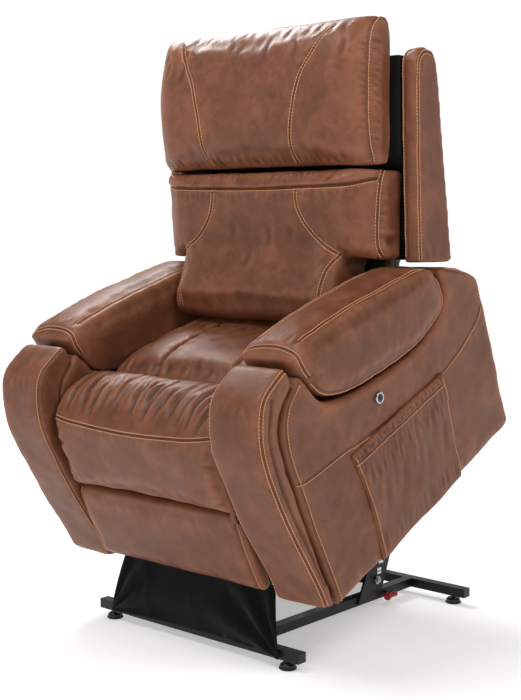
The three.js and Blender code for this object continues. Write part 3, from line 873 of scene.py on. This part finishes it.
# ---------------------------------------------------------------- arms
POST_FRONT = [(-37, 20), (-43, 91), (-66, 230), (-78, 343), (-81, 433), (-65, 505), (-30, 563), (33, 586),
              (76, 594)]
PANEL_FRONT = [(8, 0), (1, 101), (-7, 238), (-8, 337), (-11, 386), (-3, 458), (29, 513), (84, 543)]
PAD_LOWER = [(97, 567), (119, 515), (141, 479), (180, 453), (232, 436), (335, 415), (430, 404), (519, 401),
             (578, 410),
             (627, 425), (658, 450), (664, 488), (651, 523)]
PAD_UPPER = [(640, 548), (590, 564), (455, 588), (336, 604), (224, 614), (140, 613), (88, 600)]
POCKET_HEM = [(178, 301), (310, 300), (450, 297), (574, 294)]


def make_posts():
    shape = outline(POST_FRONT, list(reversed([(y - 3, z) for y, z in PANEL_FRONT])))
    post = padding("arm_post_left_cover", [(shape, 286, 438)], 0.007, 11)
    front = [(y + 4, z - 3) for y, z in POST_FRONT]
    outer = [(y + 9, z - 4) for y, z in POST_FRONT]
    seams = [
        Seam(side_line(290, front), *ONE_ROW, rows=(-1,)),
        Seam(side_line(436, outer)),
        Seam(side_line(442, [(y + 34, z - 14) for y, z in POST_FRONT[1:7]]), 4.5, 3.4, rows=(), puff=0.8),
    ]
    creases = gathers((424, -76, 330), (424, -76, 520), 9, (-22, -2, 5), 0.7, 7.0, 51)
    creases += gathers((326, -44, 566), (424, -44, 566), 8, (2, -14, -24), 0.9, 6.0, 53)
    upholster(post, SEAT_FRAME, "chair", ["arm_post_left"], seams, creases, uneven=1.4,
              mirror={"name": "arm_post_right_cover", "nodes": ["arm_post_right"]})


def make_pads():
    shape = outline(PAD_LOWER, PAD_UPPER)
    pad = padding("arm_pad_left_cover", [(shape, 282, ARM_SIDE)], 0.007, 7, 0.010)
    ridge = [(624, 544), (590, 562), (455, 586), (336, 602), (224, 612), (150, 612)]
    cap = spline([(288, 112, 545), (287, 104, 575), (300, 112, 603), (345, 118, 612), (395, 118, 611),
                  (432, 112, 600),
                  (447, 108, 575), (448, 120, 540)])
    hem = [(124, 522), (144, 489), (182, 463), (234, 446), (336, 425), (430, 414), (518, 411), (574, 419),
           (619, 433),
           (648, 456), (654, 488), (642, 518)]
    seams = [
        Seam(side_line([424, 430], ridge[::-1])),
        Seam(side_line([306, 300], ridge[::-1])),
        Seam(cap),
        Seam(side_line(ARM_SIDE, hem), *ONE_ROW, rows=(-1,)),
    ]
    creases = gathers((306, 128, 614), (426, 128, 614), 13, (3, 28, -2), 1.3, 5.0, 61)
    creases += gathers((452, 200, 452), (452, 560, 425), 12, (1, 6, 36), 0.9, 8.0, 62)
    creases += gathers((430, 190, 610), (430, 560, 575), 12, (12, 8, -26), 0.9, 8.0, 63)
    creases += gathers((300, 190, 612), (300, 560, 578), 14, (16, 8, 3), 0.9, 7.0, 64)
    upholster(pad, SEAT_FRAME, "chair", ["arm_pad_left"], seams, creases, uneven=1.5,
              mirror={"name": "arm_pad_right_cover", "nodes": ["arm_pad_right"]})


def panel_outline():
    under = [(100, 560), (141, 470), (180, 444), (232, 427), (335, 406), (430, 395), (519, 392), (585, 402),
             (636, 418),
             (667, 446), (674, 486), (664, 522)]
    return outline(PANEL_FRONT, under, [(698, 521), (735, 499), (768, 478), (815, 434), (823, 393)],
                   [(818, 174)],
                   [(808, 2)])


def make_panels():
    mid = [(-10, 339), (65, 329), (167, 319), (217, 311), (317, 298), (424, 289), (515, 286), (568, 286),
           (640, 296),
           (724, 316), (772, 333), (804, 360)]
    welt = [(y + 7, z) for y, z in PANEL_FRONT]
    for side in SIDES:
        blocks = [(panel_outline(), *sorted((side * 286, side * 444)))]
        panel = padding("arm_panel_" + SIDE_NAME[side] + "_cover", blocks, sizes().panel_grain * 0.8, 5)
        seams = [
            Seam(side_line(side * 446, mid), *ONE_ROW, rows=(-side,)),
            Seam(side_line(side * 444, welt), *ONE_ROW, rows=(-side,)),
            Seam(side_line(side * 444, [(698, 515), (735, 492), (766, 470)]), *ONE_ROW, rows=(1,)),
            Seam(side_line(side * 442, [(818, 390), (812, 174), (800, 8)]), *ONE_ROW, rows=(side,)),
        ]
        creases = gathers((side * 447, 30, 12), (side * 447, 760, 12), 22, (0, 5, 38), 1.2, 10.0, 71)
        creases += gathers((side * 447, 10, 330), (side * 447, 760, 330), 12, (0, -8, -36), 0.8, 9.0, 72)
        creases += gathers((side * 447, 20, 345), (side * 447, 600, 300), 12, (0, 10, 40), 0.8, 9.0, 73)
        upholster(panel, SEAT_FRAME, "chair", ["arm_panel_" + SIDE_NAME[side]], seams, creases,
                  uneven=1.8)


def make_pocket():
    """The magazine pocket: a flat leather bag with an elastic hem, sewn on the left panel on three sides."""
    shape = outline([(172, 4), (552, 4)], [(560, 100), (570, 215), (575, 290)],
                    [(450, 297), (310, 300), (178, 301)],
                    [(190, 200), (192, 114), (180, 4)])
    pocket = padding("side_pocket_cover", [(shape, 440, 453)], 0.005, 3)
    seams = [
        Seam(side_line(451, [(574, 280), (569, 215), (561, 117), (548, 8)]), *ONE_ROW, rows=(-1,)),
        Seam(side_line(451, [(182, 290), (190, 200), (194, 114), (186, 8)]), *ONE_ROW, rows=(1,)),
        Seam(side_line(452, [(y, z - 28) for y, z in POCKET_HEM]), *ONE_ROW, rows=(-1,)),
    ]
    creases = gathers((454, 184, 298), (454, 572, 292), 50, (0, 2, -20), 3.2, 3.4, 81)
    creases += gathers((454, 190, 266), (454, 566, 262), 36, (0, -4, -60), 2.6, 5.0, 82)
    creases += gathers((452, 220, 190), (452, 540, 190), 9, (0, -20, -70), 1.8, 9.0, 83)
    creases += gathers((452, 186, 20), (452, 540, 20), 16, (0, 3, 40), 1.6, 6.0, 84)
    upholster(pocket, SEAT_FRAME, "chair", ["side_pocket_left"], seams, creases, uneven=1.6)


# Radius and height of the port's bezel above the panel, from its rim inwards, in metres.
BEZEL = ((0.0145, 0.000), (0.0145, 0.0022), (0.0132, 0.0034), (0.0116, 0.0034), (0.0108, 0.0024),
         (0.0106, -0.004))


def make_port():
    """The accessory port's bezel, bore and slotted insert, on the left panel above the seam."""
    bm = bmesh.new()
    turned(bm, [(height, radius, 0) for radius, height in BEZEL], (1, 0, 0))
    bezel = new_object("accessory_port_bezel", bm)
    bm = bmesh.new()
    sideways = Matrix.Rotation(math.pi / 2, 4, "Y")
    bmesh.ops.create_cone(bm, segments=40, radius1=0.0104, radius2=0.0096, depth=0.006, cap_ends=True,
                          matrix=sideways)
    bar = Matrix.Rotation(math.radians(40), 4, "X") @ Matrix.Translation((0.003, 0, 0)) @ Matrix.Diagonal(
        (0.004, 0.003, 0.015, 1))
    bmesh.ops.create_cube(bm, size=1, matrix=bar)
    insert = new_object("accessory_port_insert", bm)
    place = SEAT_FRAME @ Matrix.Translation((0.449, 0.323, 0.369))
    for piece, material in ((bezel, zinc_plate()), (insert, moulded_plastic())):
        piece.data.transform(place)
        piece.data.materials.append(material)
        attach(piece, "chair")
    bezel.data.shade_smooth()


# ---------------------------------------------------------------- seat and footrest
SEAT = outline([(164, 366)], [(160, 430), (172, 462), (250, 474), (350, 466), (455, 450), (538, 441),
                              (556, 420)],
               [(554, 366)])
ROLL = outline([(-12, 262), (-54, 260)], [(-62, 300), (-62, 380), (-52, 452), (-18, 486), (45, 500),
                                          (110, 494)],
               [(150, 474), (162, 440)], [(160, 404), (-10, 404)])
FOOT_PAD = outline([(-21, 40), (-44, 40)], [(-56, 60), (-60, 150), (-58, 240), (-48, 257)], [(-21, 258)])


def make_seat():
    seat = padding("seat_cushion_cover", [(SEAT, -SEAT_HALF, SEAT_HALF)], sizes().cushion_grain, 4, 0.016)
    channel = [(168, 476), (250, 490), (350, 482), (455, 458)]
    seams = [Seam(side_line(side * 123, channel), 5.5, 5.0, rows=(), puff=1.0) for side in SIDES]
    creases = []
    for side in SIDES:
        creases += gathers((side * 123, 190, 480), (side * 123, 440, 470), 12, (side * 20, 4, 2), 1.6, 6.0,
                           91)
        creases += gathers((side * 123, 190, 480), (side * 123, 440, 470), 12, (-side * 20, 6, 2), 1.6, 6.0,
                           92)
    creases += gathers((-265, 172, 470), (265, 172, 470), 30, (3, 36, 8), 2.4, 7.0, 93)
    creases += gathers((-70, 330, 480), (90, 430, 470), 5, (36, 10, 0), 1.6, 10.0, 94)
    creases += gathers((-240, 440, 455), (240, 440, 455), 14, (0, -36, 4), 2.0, 8.0, 95)
    upholster(seat, SEAT_FRAME, "chair", ["seat_cushion"], seams, creases, uneven=2.2)


def make_roll():
    roll = padding("seat_front_roll_cover", [(ROLL, -SEAT_HALF, SEAT_HALF)], sizes().cushion_grain, 5,
                   0.012)
    topstitch = spline([(-268, -62, 470), (-180, -66, 462), (-60, -68, 456), (60, -68, 456),
                        (180, -66, 462),
                        (268, -62, 472)])
    seams = [Seam(topstitch, 2.4, 2.8, rows=(-1, 1), puff=1.2)]
    rng = np.random.default_rng(101)
    creases = []
    for i in range(46):
        x = -262 + 524 * (i + rng.uniform(0.1, 0.9)) / 46
        lean = rng.uniform(-16, 16) - 0.08 * x
        start, stop = rng.uniform(60, 145), rng.uniform(-48, 10)
        height = np.interp([start, (start + stop) / 2, stop], [-60, -20, 45, 110, 160],
                           [470, 492, 504, 500, 476])
        creases.append(Crease([(x, start, height[0]), (x + lean * 0.6, (start + stop) / 2, height[1]),
                               (x + lean, stop, height[2])], rng.uniform(2.2, 6.2), rng.uniform(4.0, 7.5)))
    creases += gathers((-262, -70, 450), (262, -70, 450), 30, (2, -2, -16), 0.8, 5.0, 102)
    for side in SIDES:
        creases += gathers((side * 270, -66, 440), (side * 272, -70, 290), 11, (-side * 34, -4, -8), 3.0,
                           6.0, 103)
    creases += gathers((-250, -68, 284), (250, -68, 284), 10, (2, -2, 36), 1.0, 10.0, 104)
    upholster(roll, SEAT_FRAME, "chair", ["seat_front_roll"], seams, creases, uneven=2.0)


def make_footrest():
    pad = padding("footrest_cover", [(FOOT_PAD, -278, 278)], 0.007, 4, 0.006)
    edge = [(-38, 48), (-50, 62), (-60, 150), (-56, 236), (-44, 250)]
    seams = [Seam(side_line(side * 262, edge), *ONE_ROW, rows=(-side,)) for side in SIDES]
    creases = gathers((-250, -60, 240), (250, -60, 240), 11, (3, -1, -30), 0.8, 9.0, 111)
    creases += gathers((-250, -60, 56), (250, -60, 56), 11, (3, -1, 30), 0.8, 9.0, 112)
    upholster(pad, SEAT_FRAME, "footrest", ["footrest_pad"], seams, creases, uneven=1.4)


def make_tab():
    """The small leather loop sewn under the right-hand end of the front flap."""
    bm = bmesh.new()
    turns = spline([(-56, 276), (-62, 262), (-61, 246), (-54, 240), (-48, 248), (-50, 264), (-52, 274)], 5)
    rings = []
    for y, z in turns:
        rings.append([bm.verts.new((x * MM, y * MM, z * MM)) for x in (258, 262, 270, 274)])
    for a, b in zip(rings, rings[1:]):
        for k in range(3):
            bm.faces.new((a[k], a[k + 1], b[k + 1], b[k]))
    bmesh.ops.recalc_face_normals(bm, faces=bm.faces[:])
    tab = new_object("flap_tab", bm)
    thick = tab.modifiers.new("Solidify", "SOLIDIFY")
    thick.thickness = 0.0026
    fine = tab.modifiers.new("Subdivision", "SUBSURF")
    fine.levels = fine.render_levels = 2
    apply_modifiers(tab)
    mark_relief(tab)
    tab.data.transform(SEAT_FRAME)
    tab.data.materials.append(leather_material())
    tab.data.shade_smooth()
    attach(tab, "chair")


def make_rear_cover():
    """The leather over the lower back of the seat, with a band along its top edge."""
    shape = outline([(764, 14), (773, 14)], [(790, 299)], [(702, 299)], [(702, 293), (780, 293)])
    cover = padding("rear_cover_leather", [(shape, -281, 281)], 0.0055, 1)
    seams = [Seam(side_line(side * 236, [(773, 20), (780, 150), (789, 292)])) for side in SIDES]
    seams.append(Seam([(x, 777, 40) for x in range(-276, 277, 8)], *ONE_ROW, rows=(1,)))
    creases = gathers((-220, 782, 80), (220, 782, 80), 9, (4, 2, 60), 1.4, 9.0, 121)
    upholster(cover, SEAT_FRAME, "chair", ["rear_cover"], seams, creases, uneven=1.2)


# ---------------------------------------------------------------- skirt and base
# Half the skirt's width in millimetres, then its y and z in metres.
SKIRT_TOP = (257, -0.3475, 0.192)
SKIRT_BOTTOM = (292, -0.3740, 0.026)
SKIRT_THICK = 0.0012


def make_skirt():
    """The cloth from the seat to the front bar, gathered at both ends."""
    columns, rows = 180, 64
    bm = bmesh.new()
    bmesh.ops.create_grid(bm, x_segments=columns, y_segments=rows, size=1)
    rng = np.random.default_rng(131)
    folds = [(rng.uniform(0.0, 1.0), rng.uniform(0.02, 0.05), rng.uniform(0.5, 1.0)) for _ in range(9)]
    for v in bm.verts:
        u, drop = v.co.x, (1 - v.co.y) / 2
        half = (SKIRT_TOP[0] + (SKIRT_BOTTOM[0] - SKIRT_TOP[0]) * drop) * MM
        y = SKIRT_TOP[1] + (SKIRT_BOTTOM[1] - SKIRT_TOP[1]) * drop + BASE_MIDDLE
        z = SKIRT_TOP[2] + (SKIRT_BOTTOM[2] - SKIRT_TOP[2]) * drop
        near_end = 1 - abs(u)
        away = math.hypot(near_end * half, (1 - drop) * 0.16)
        angle = math.atan2((1 - drop) * 0.16, near_end * half + 0.004)
        ripple = math.sin(angle * 11 + (1.3 if u > 0 else 0)) * 0.0075 * smoothstep(away, 0.0, 0.05)
        ripple *= (1 - smoothstep(away, 0.16, 0.30)) * smoothstep(near_end, 0.0, 0.06)
        soft = sum(h * math.exp(-(((u + 1) / 2 - c - 0.1 * drop) / w) ** 2) for c, w, h in folds) * 0.0028
        bow = 0.012 * (1 - u * u) * drop**3
        belly = -0.006 * math.sin(drop * math.pi)
        v.co = (u * half, y + belly + (ripple - soft) * min(1, 6 * drop), z + bow)
    skirt = new_object("front_skirt_cloth", bm)
    thick = skirt.modifiers.new("Solidify", "SOLIDIFY")
    thick.thickness = SKIRT_THICK
    thick.offset = 0
    apply_modifiers(skirt)
    skirt.data.materials.append(lining_cloth())
    skirt.data.shade_smooth()
    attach(skirt, "base")
    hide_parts("front_skirt")
    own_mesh(skirt)


# Radius and height of a foot's rubber ring, from its middle outwards, in metres.
FOOT_RING = ((0.0, 0.0012), (0.0165, 0.0012), (0.0212, 0.0016), (0.0218, 0.0040), (0.0205, 0.0052),
             (0.0182, 0.0056))


def hex_head(bm, centre, radius, depth, side):
    """A hexagon bolt head with a washer, facing sideways."""
    facing = Matrix.Translation(centre) @ Matrix.Rotation(side * math.pi / 2, 4, "Y")
    bmesh.ops.create_cone(bm, segments=36, radius1=radius * 1.35, radius2=radius * 1.35, depth=0.0014,
                          cap_ends=True,
                          matrix=facing)
    lifted = facing @ Matrix.Translation((0, 0, depth / 2 + 0.0007))
    head = bmesh.ops.create_cone(bm, segments=6, radius1=radius, radius2=radius, depth=depth, cap_ends=True,
                                 matrix=lifted)
    edges = list({e for v in head["verts"] for e in v.link_edges})
    bmesh.ops.bevel(bm, geom=edges, offset=0.0007, segments=2, profile=0.5, affect="EDGES", material=-1)


def make_hardware():
    """Bolt heads at the pivots, washers under the levelling feet, and the labels on the towers."""
    for body, bolt in (("base", "rear_pivot_bolt_"), ("chair", "front_pivot_bolt_")):
        bm = bmesh.new()
        for side in SIDES:
            low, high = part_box(bolt + SIDE_NAME[side])
            x = max(abs(low.x), abs(high.x)) * side
            hex_head(bm, (x, (low.y + high.y) / 2, (low.z + high.z) / 2), 0.0085, 0.0055, side)
        heads = new_object(body + "_bolt_heads", bm)
        heads.data.materials.append(zinc_plate())
        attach(heads, body)
    for foot in [end + "_foot_" + SIDE_NAME[side] for end in ("front", "rear") for side in SIDES]:
        low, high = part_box(foot)
        bm = bmesh.new()
        turned(bm, [(radius, 0, height) for radius, height in FOOT_RING], (0, 0, 1))
        bmesh.ops.translate(bm, verts=bm.verts[:], vec=((low.x + high.x) / 2, (low.y + high.y) / 2, low.z))
        ring = new_object(foot + "_ring", bm)
        ring.data.materials.append(moulded_plastic())
        ring.data.shade_smooth()
        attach(ring, foot)
    bm = bmesh.new()
    for side in SIDES:
        low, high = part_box("lift_tower_" + SIDE_NAME[side])
        x = (high.x if side > 0 else low.x) + side * 0.0004
        for y, z, wide, tall in ((0.178, 0.104, 0.018, 0.018), (0.186, 0.130, 0.020, 0.016)):
            place = Matrix.Translation((x, y + BASE_MIDDLE, z)) @ Matrix.Diagonal((0.0006, wide, tall, 1))
            bmesh.ops.create_cube(bm, size=1, matrix=place)
    labels = new_object("tower_labels", bm)
    labels.data.materials.append(label_vinyl())
    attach(labels, "base")


def dress_steelwork():
    """Gives each uncovered node of the frame its own material. Black cloth lines the back frame, and covers
    the footrest board as painted shade that darkens the gap under the front roll.
    """
    by_slot = {"black_steel": powder_coat, "zinc": zinc_plate, "black_plastic": moulded_plastic,
               "red_plastic": red_plastic, "plywood": birch_plywood, "leather": leather_material,
               "black_cloth": lining_cloth}
    for obj in bpy.data.objects:
        for slot in obj.material_slots:
            name = slot.material.name.split(".")[0] if slot.material else ""
            # The black cloth on the footrest board is painted shade for the gap under the front roll.
            if obj.name in ("back_frame", "footrest_board"):
                name = "black_cloth"
            if name in by_slot:
                slot.material = by_slot[name]()


# ---------------------------------------------------------------- stage
def area_light(name, place, aim, size, power):
    """A soft box of a size across and up, turned to face a point."""
    light = bpy.data.lights.new(name, "AREA")
    light.shape = "RECTANGLE"
    light.size, light.size_y = size
    light.energy = power
    obj = bpy.data.objects.new(name, light)
    obj.location = place
    obj.rotation_euler = (Vector(aim) - Vector(place)).to_track_quat("-Z", "Y").to_euler()
    bpy.context.scene.collection.objects.link(obj)


def make_stage():
    """Camera, white floor with a painted glow, sky and three soft boxes."""
    scene = bpy.context.scene
    lens = bpy.data.cameras.new("camera")
    lens.lens = CAMERA_LENS
    lens.sensor_width = 36
    camera = bpy.data.objects.new("camera", lens)
    camera.location = CAMERA_PLACE
    camera.rotation_euler = CAMERA_TURN
    scene.collection.objects.link(camera)
    scene.camera = camera

    bm = bmesh.new()
    bmesh.ops.create_grid(bm, x_segments=2, y_segments=2, size=FLOOR_HALF)
    # The floor glows with painted light in place of studio lamps, weaker near the chair.
    table = new_object("light_table", bm)
    table.data.materials.append(light_table())

    world = bpy.data.worlds.new("studio")
    world.use_nodes = True
    # White walls round a darker ceiling.
    tree = world.node_tree
    facing = node(tree, "ShaderNodeTexCoord").outputs["Generated"]
    height = node(tree, "ShaderNodeSeparateXYZ", None, {"Vector": facing}).outputs["Z"]
    bright = node(tree, "ShaderNodeMapRange", {"From Min": 0.22, "From Max": 0.45, "To Min": 1.02,
                                               "To Max": 0.22},
                  {"Value": height}).outputs["Result"]
    walls = tree.nodes["Background"]
    walls.inputs["Color"].default_value = (1, 1, 1, 1)
    tree.links.new(bright, walls.inputs["Strength"])
    scene.world = world
    scene.view_settings.view_transform = "Standard"

    area_light("back_box", (-1.9, 0.9, 3.1), (0, 0, 0.8), (1.3, 1.0), 66)
    area_light("front_box", (-0.4, -1.8, 3.4), (0, 0, 1.2), (1.1, 1.1), 50)
    area_light("right_box", (2.6, -0.6, 3.2), (0, 0, 1.3), (1.1, 1.1), 41)


# ---------------------------------------------------------------- operators
class RECLINER_OT_pillow(bpy.types.Operator):
    """Make the head pillow's cover."""

    bl_idname = "recliner.pillow"
    bl_label = "Head pillow"

    def execute(self, context):
        make_pillow()
        return {"FINISHED"}


class RECLINER_OT_lumbar(bpy.types.Operator):
    """Make the lumbar cushion's cover."""

    bl_idname = "recliner.lumbar"
    bl_label = "Lumbar cushion"

    def execute(self, context):
        make_lumbar()
        return {"FINISHED"}


class RECLINER_OT_wings(bpy.types.Operator):
    """Make the covers of the wings beside the back."""

    bl_idname = "recliner.wings"
    bl_label = "Wings"

    def execute(self, context):
        make_wings()
        return {"FINISHED"}


class RECLINER_OT_rear_panel(bpy.types.Operator):
    """Make the covers behind the back and the seat."""

    bl_idname = "recliner.rear_panel"
    bl_label = "Rear covers"

    def execute(self, context):
        make_rear_panel()
        make_rear_cover()
        return {"FINISHED"}


class RECLINER_OT_posts(bpy.types.Operator):
    """Make the covers of the arms' curved fronts."""

    bl_idname = "recliner.posts"
    bl_label = "Arm fronts"

    def execute(self, context):
        make_posts()
        return {"FINISHED"}


class RECLINER_OT_pads(bpy.types.Operator):
    """Make the covers of the arm pads."""

    bl_idname = "recliner.pads"
    bl_label = "Arm pads"

    def execute(self, context):
        make_pads()
        return {"FINISHED"}


class RECLINER_OT_panels(bpy.types.Operator):
    """Make the covers of the arms' sides."""

    bl_idname = "recliner.panels"
    bl_label = "Arm sides"

    def execute(self, context):
        make_panels()
        return {"FINISHED"}


class RECLINER_OT_pocket(bpy.types.Operator):
    """Make the side pocket and the accessory port."""

    bl_idname = "recliner.pocket"
    bl_label = "Pocket and port"

    def execute(self, context):
        make_pocket()
        make_port()
        return {"FINISHED"}


class RECLINER_OT_seat(bpy.types.Operator):
    """Make the seat cushion's cover."""

    bl_idname = "recliner.seat"
    bl_label = "Seat cushion"

    def execute(self, context):
        make_seat()
        return {"FINISHED"}


class RECLINER_OT_roll(bpy.types.Operator):
    """Make the roll at the front of the seat, with its loop."""

    bl_idname = "recliner.roll"
    bl_label = "Front roll"

    def execute(self, context):
        make_roll()
        make_tab()
        return {"FINISHED"}


class RECLINER_OT_footrest(bpy.types.Operator):
    """Make the footrest pad's cover."""

    bl_idname = "recliner.footrest"
    bl_label = "Footrest pad"

    def execute(self, context):
        make_footrest()
        return {"FINISHED"}


class RECLINER_OT_skirt(bpy.types.Operator):
    """Make the cloth in front of the lift."""

    bl_idname = "recliner.skirt"
    bl_label = "Front skirt"

    def execute(self, context):
        make_skirt()
        return {"FINISHED"}


class RECLINER_OT_hardware(bpy.types.Operator):
    """Make the bolt heads, foot rings and labels."""

    bl_idname = "recliner.hardware"
    bl_label = "Hardware"

    def execute(self, context):
        make_hardware()
        return {"FINISHED"}


class RECLINER_OT_steelwork(bpy.types.Operator):
    """Give the uncovered nodes of the frame their materials."""

    bl_idname = "recliner.steelwork"
    bl_label = "Steelwork"

    def execute(self, context):
        dress_steelwork()
        return {"FINISHED"}


class RECLINER_OT_stage(bpy.types.Operator):
    """Make the camera, floor, sky and lights."""

    bl_idname = "recliner.stage"
    bl_label = "Stage"

    def execute(self, context):
        make_stage()
        return {"FINISHED"}


OPERATORS = [
    RECLINER_OT_pillow, RECLINER_OT_lumbar, RECLINER_OT_wings, RECLINER_OT_rear_panel,
    RECLINER_OT_posts, RECLINER_OT_pads, RECLINER_OT_panels, RECLINER_OT_pocket, RECLINER_OT_seat,
    RECLINER_OT_roll, RECLINER_OT_footrest, RECLINER_OT_skirt, RECLINER_OT_hardware,
    RECLINER_OT_steelwork, RECLINER_OT_stage,
]


class RECLINER_PT_panel(bpy.types.Panel):
    """Everything the chair is made of, in the order it is made."""

    bl_label = "Lift recliner chair"
    bl_idname = "RECLINER_PT_panel"
    bl_space_type = "VIEW_3D"
    bl_region_type = "UI"
    bl_category = "Recliner"

    def draw(self, context):
        for group in (context.scene.recliner_sizes, context.scene.recliner_colours):
            for key in group.__annotations__:
                self.layout.prop(group, key)
        for operator in OPERATORS:
            self.layout.operator(operator.bl_idname)


CLASSES = [ReclinerSizes, ReclinerColours, *OPERATORS, RECLINER_PT_panel]


def register():
    for cls in CLASSES:
        bpy.utils.register_class(cls)
    bpy.types.Scene.recliner_sizes = bpy.props.PointerProperty(type=ReclinerSizes)
    bpy.types.Scene.recliner_colours = bpy.props.PointerProperty(type=ReclinerColours)


def unregister():
    del bpy.types.Scene.recliner_colours
    del bpy.types.Scene.recliner_sizes
    for cls in reversed(CLASSES):
        bpy.utils.unregister_class(cls)


def main():
    register()
    for operator in OPERATORS:
        run = getattr(bpy.ops.recliner, operator.bl_idname.split(".")[1])
        if run() != {"FINISHED"}:
            raise RuntimeError(operator.bl_idname + " didn't finish")


if __name__ == "__main__":
    main()
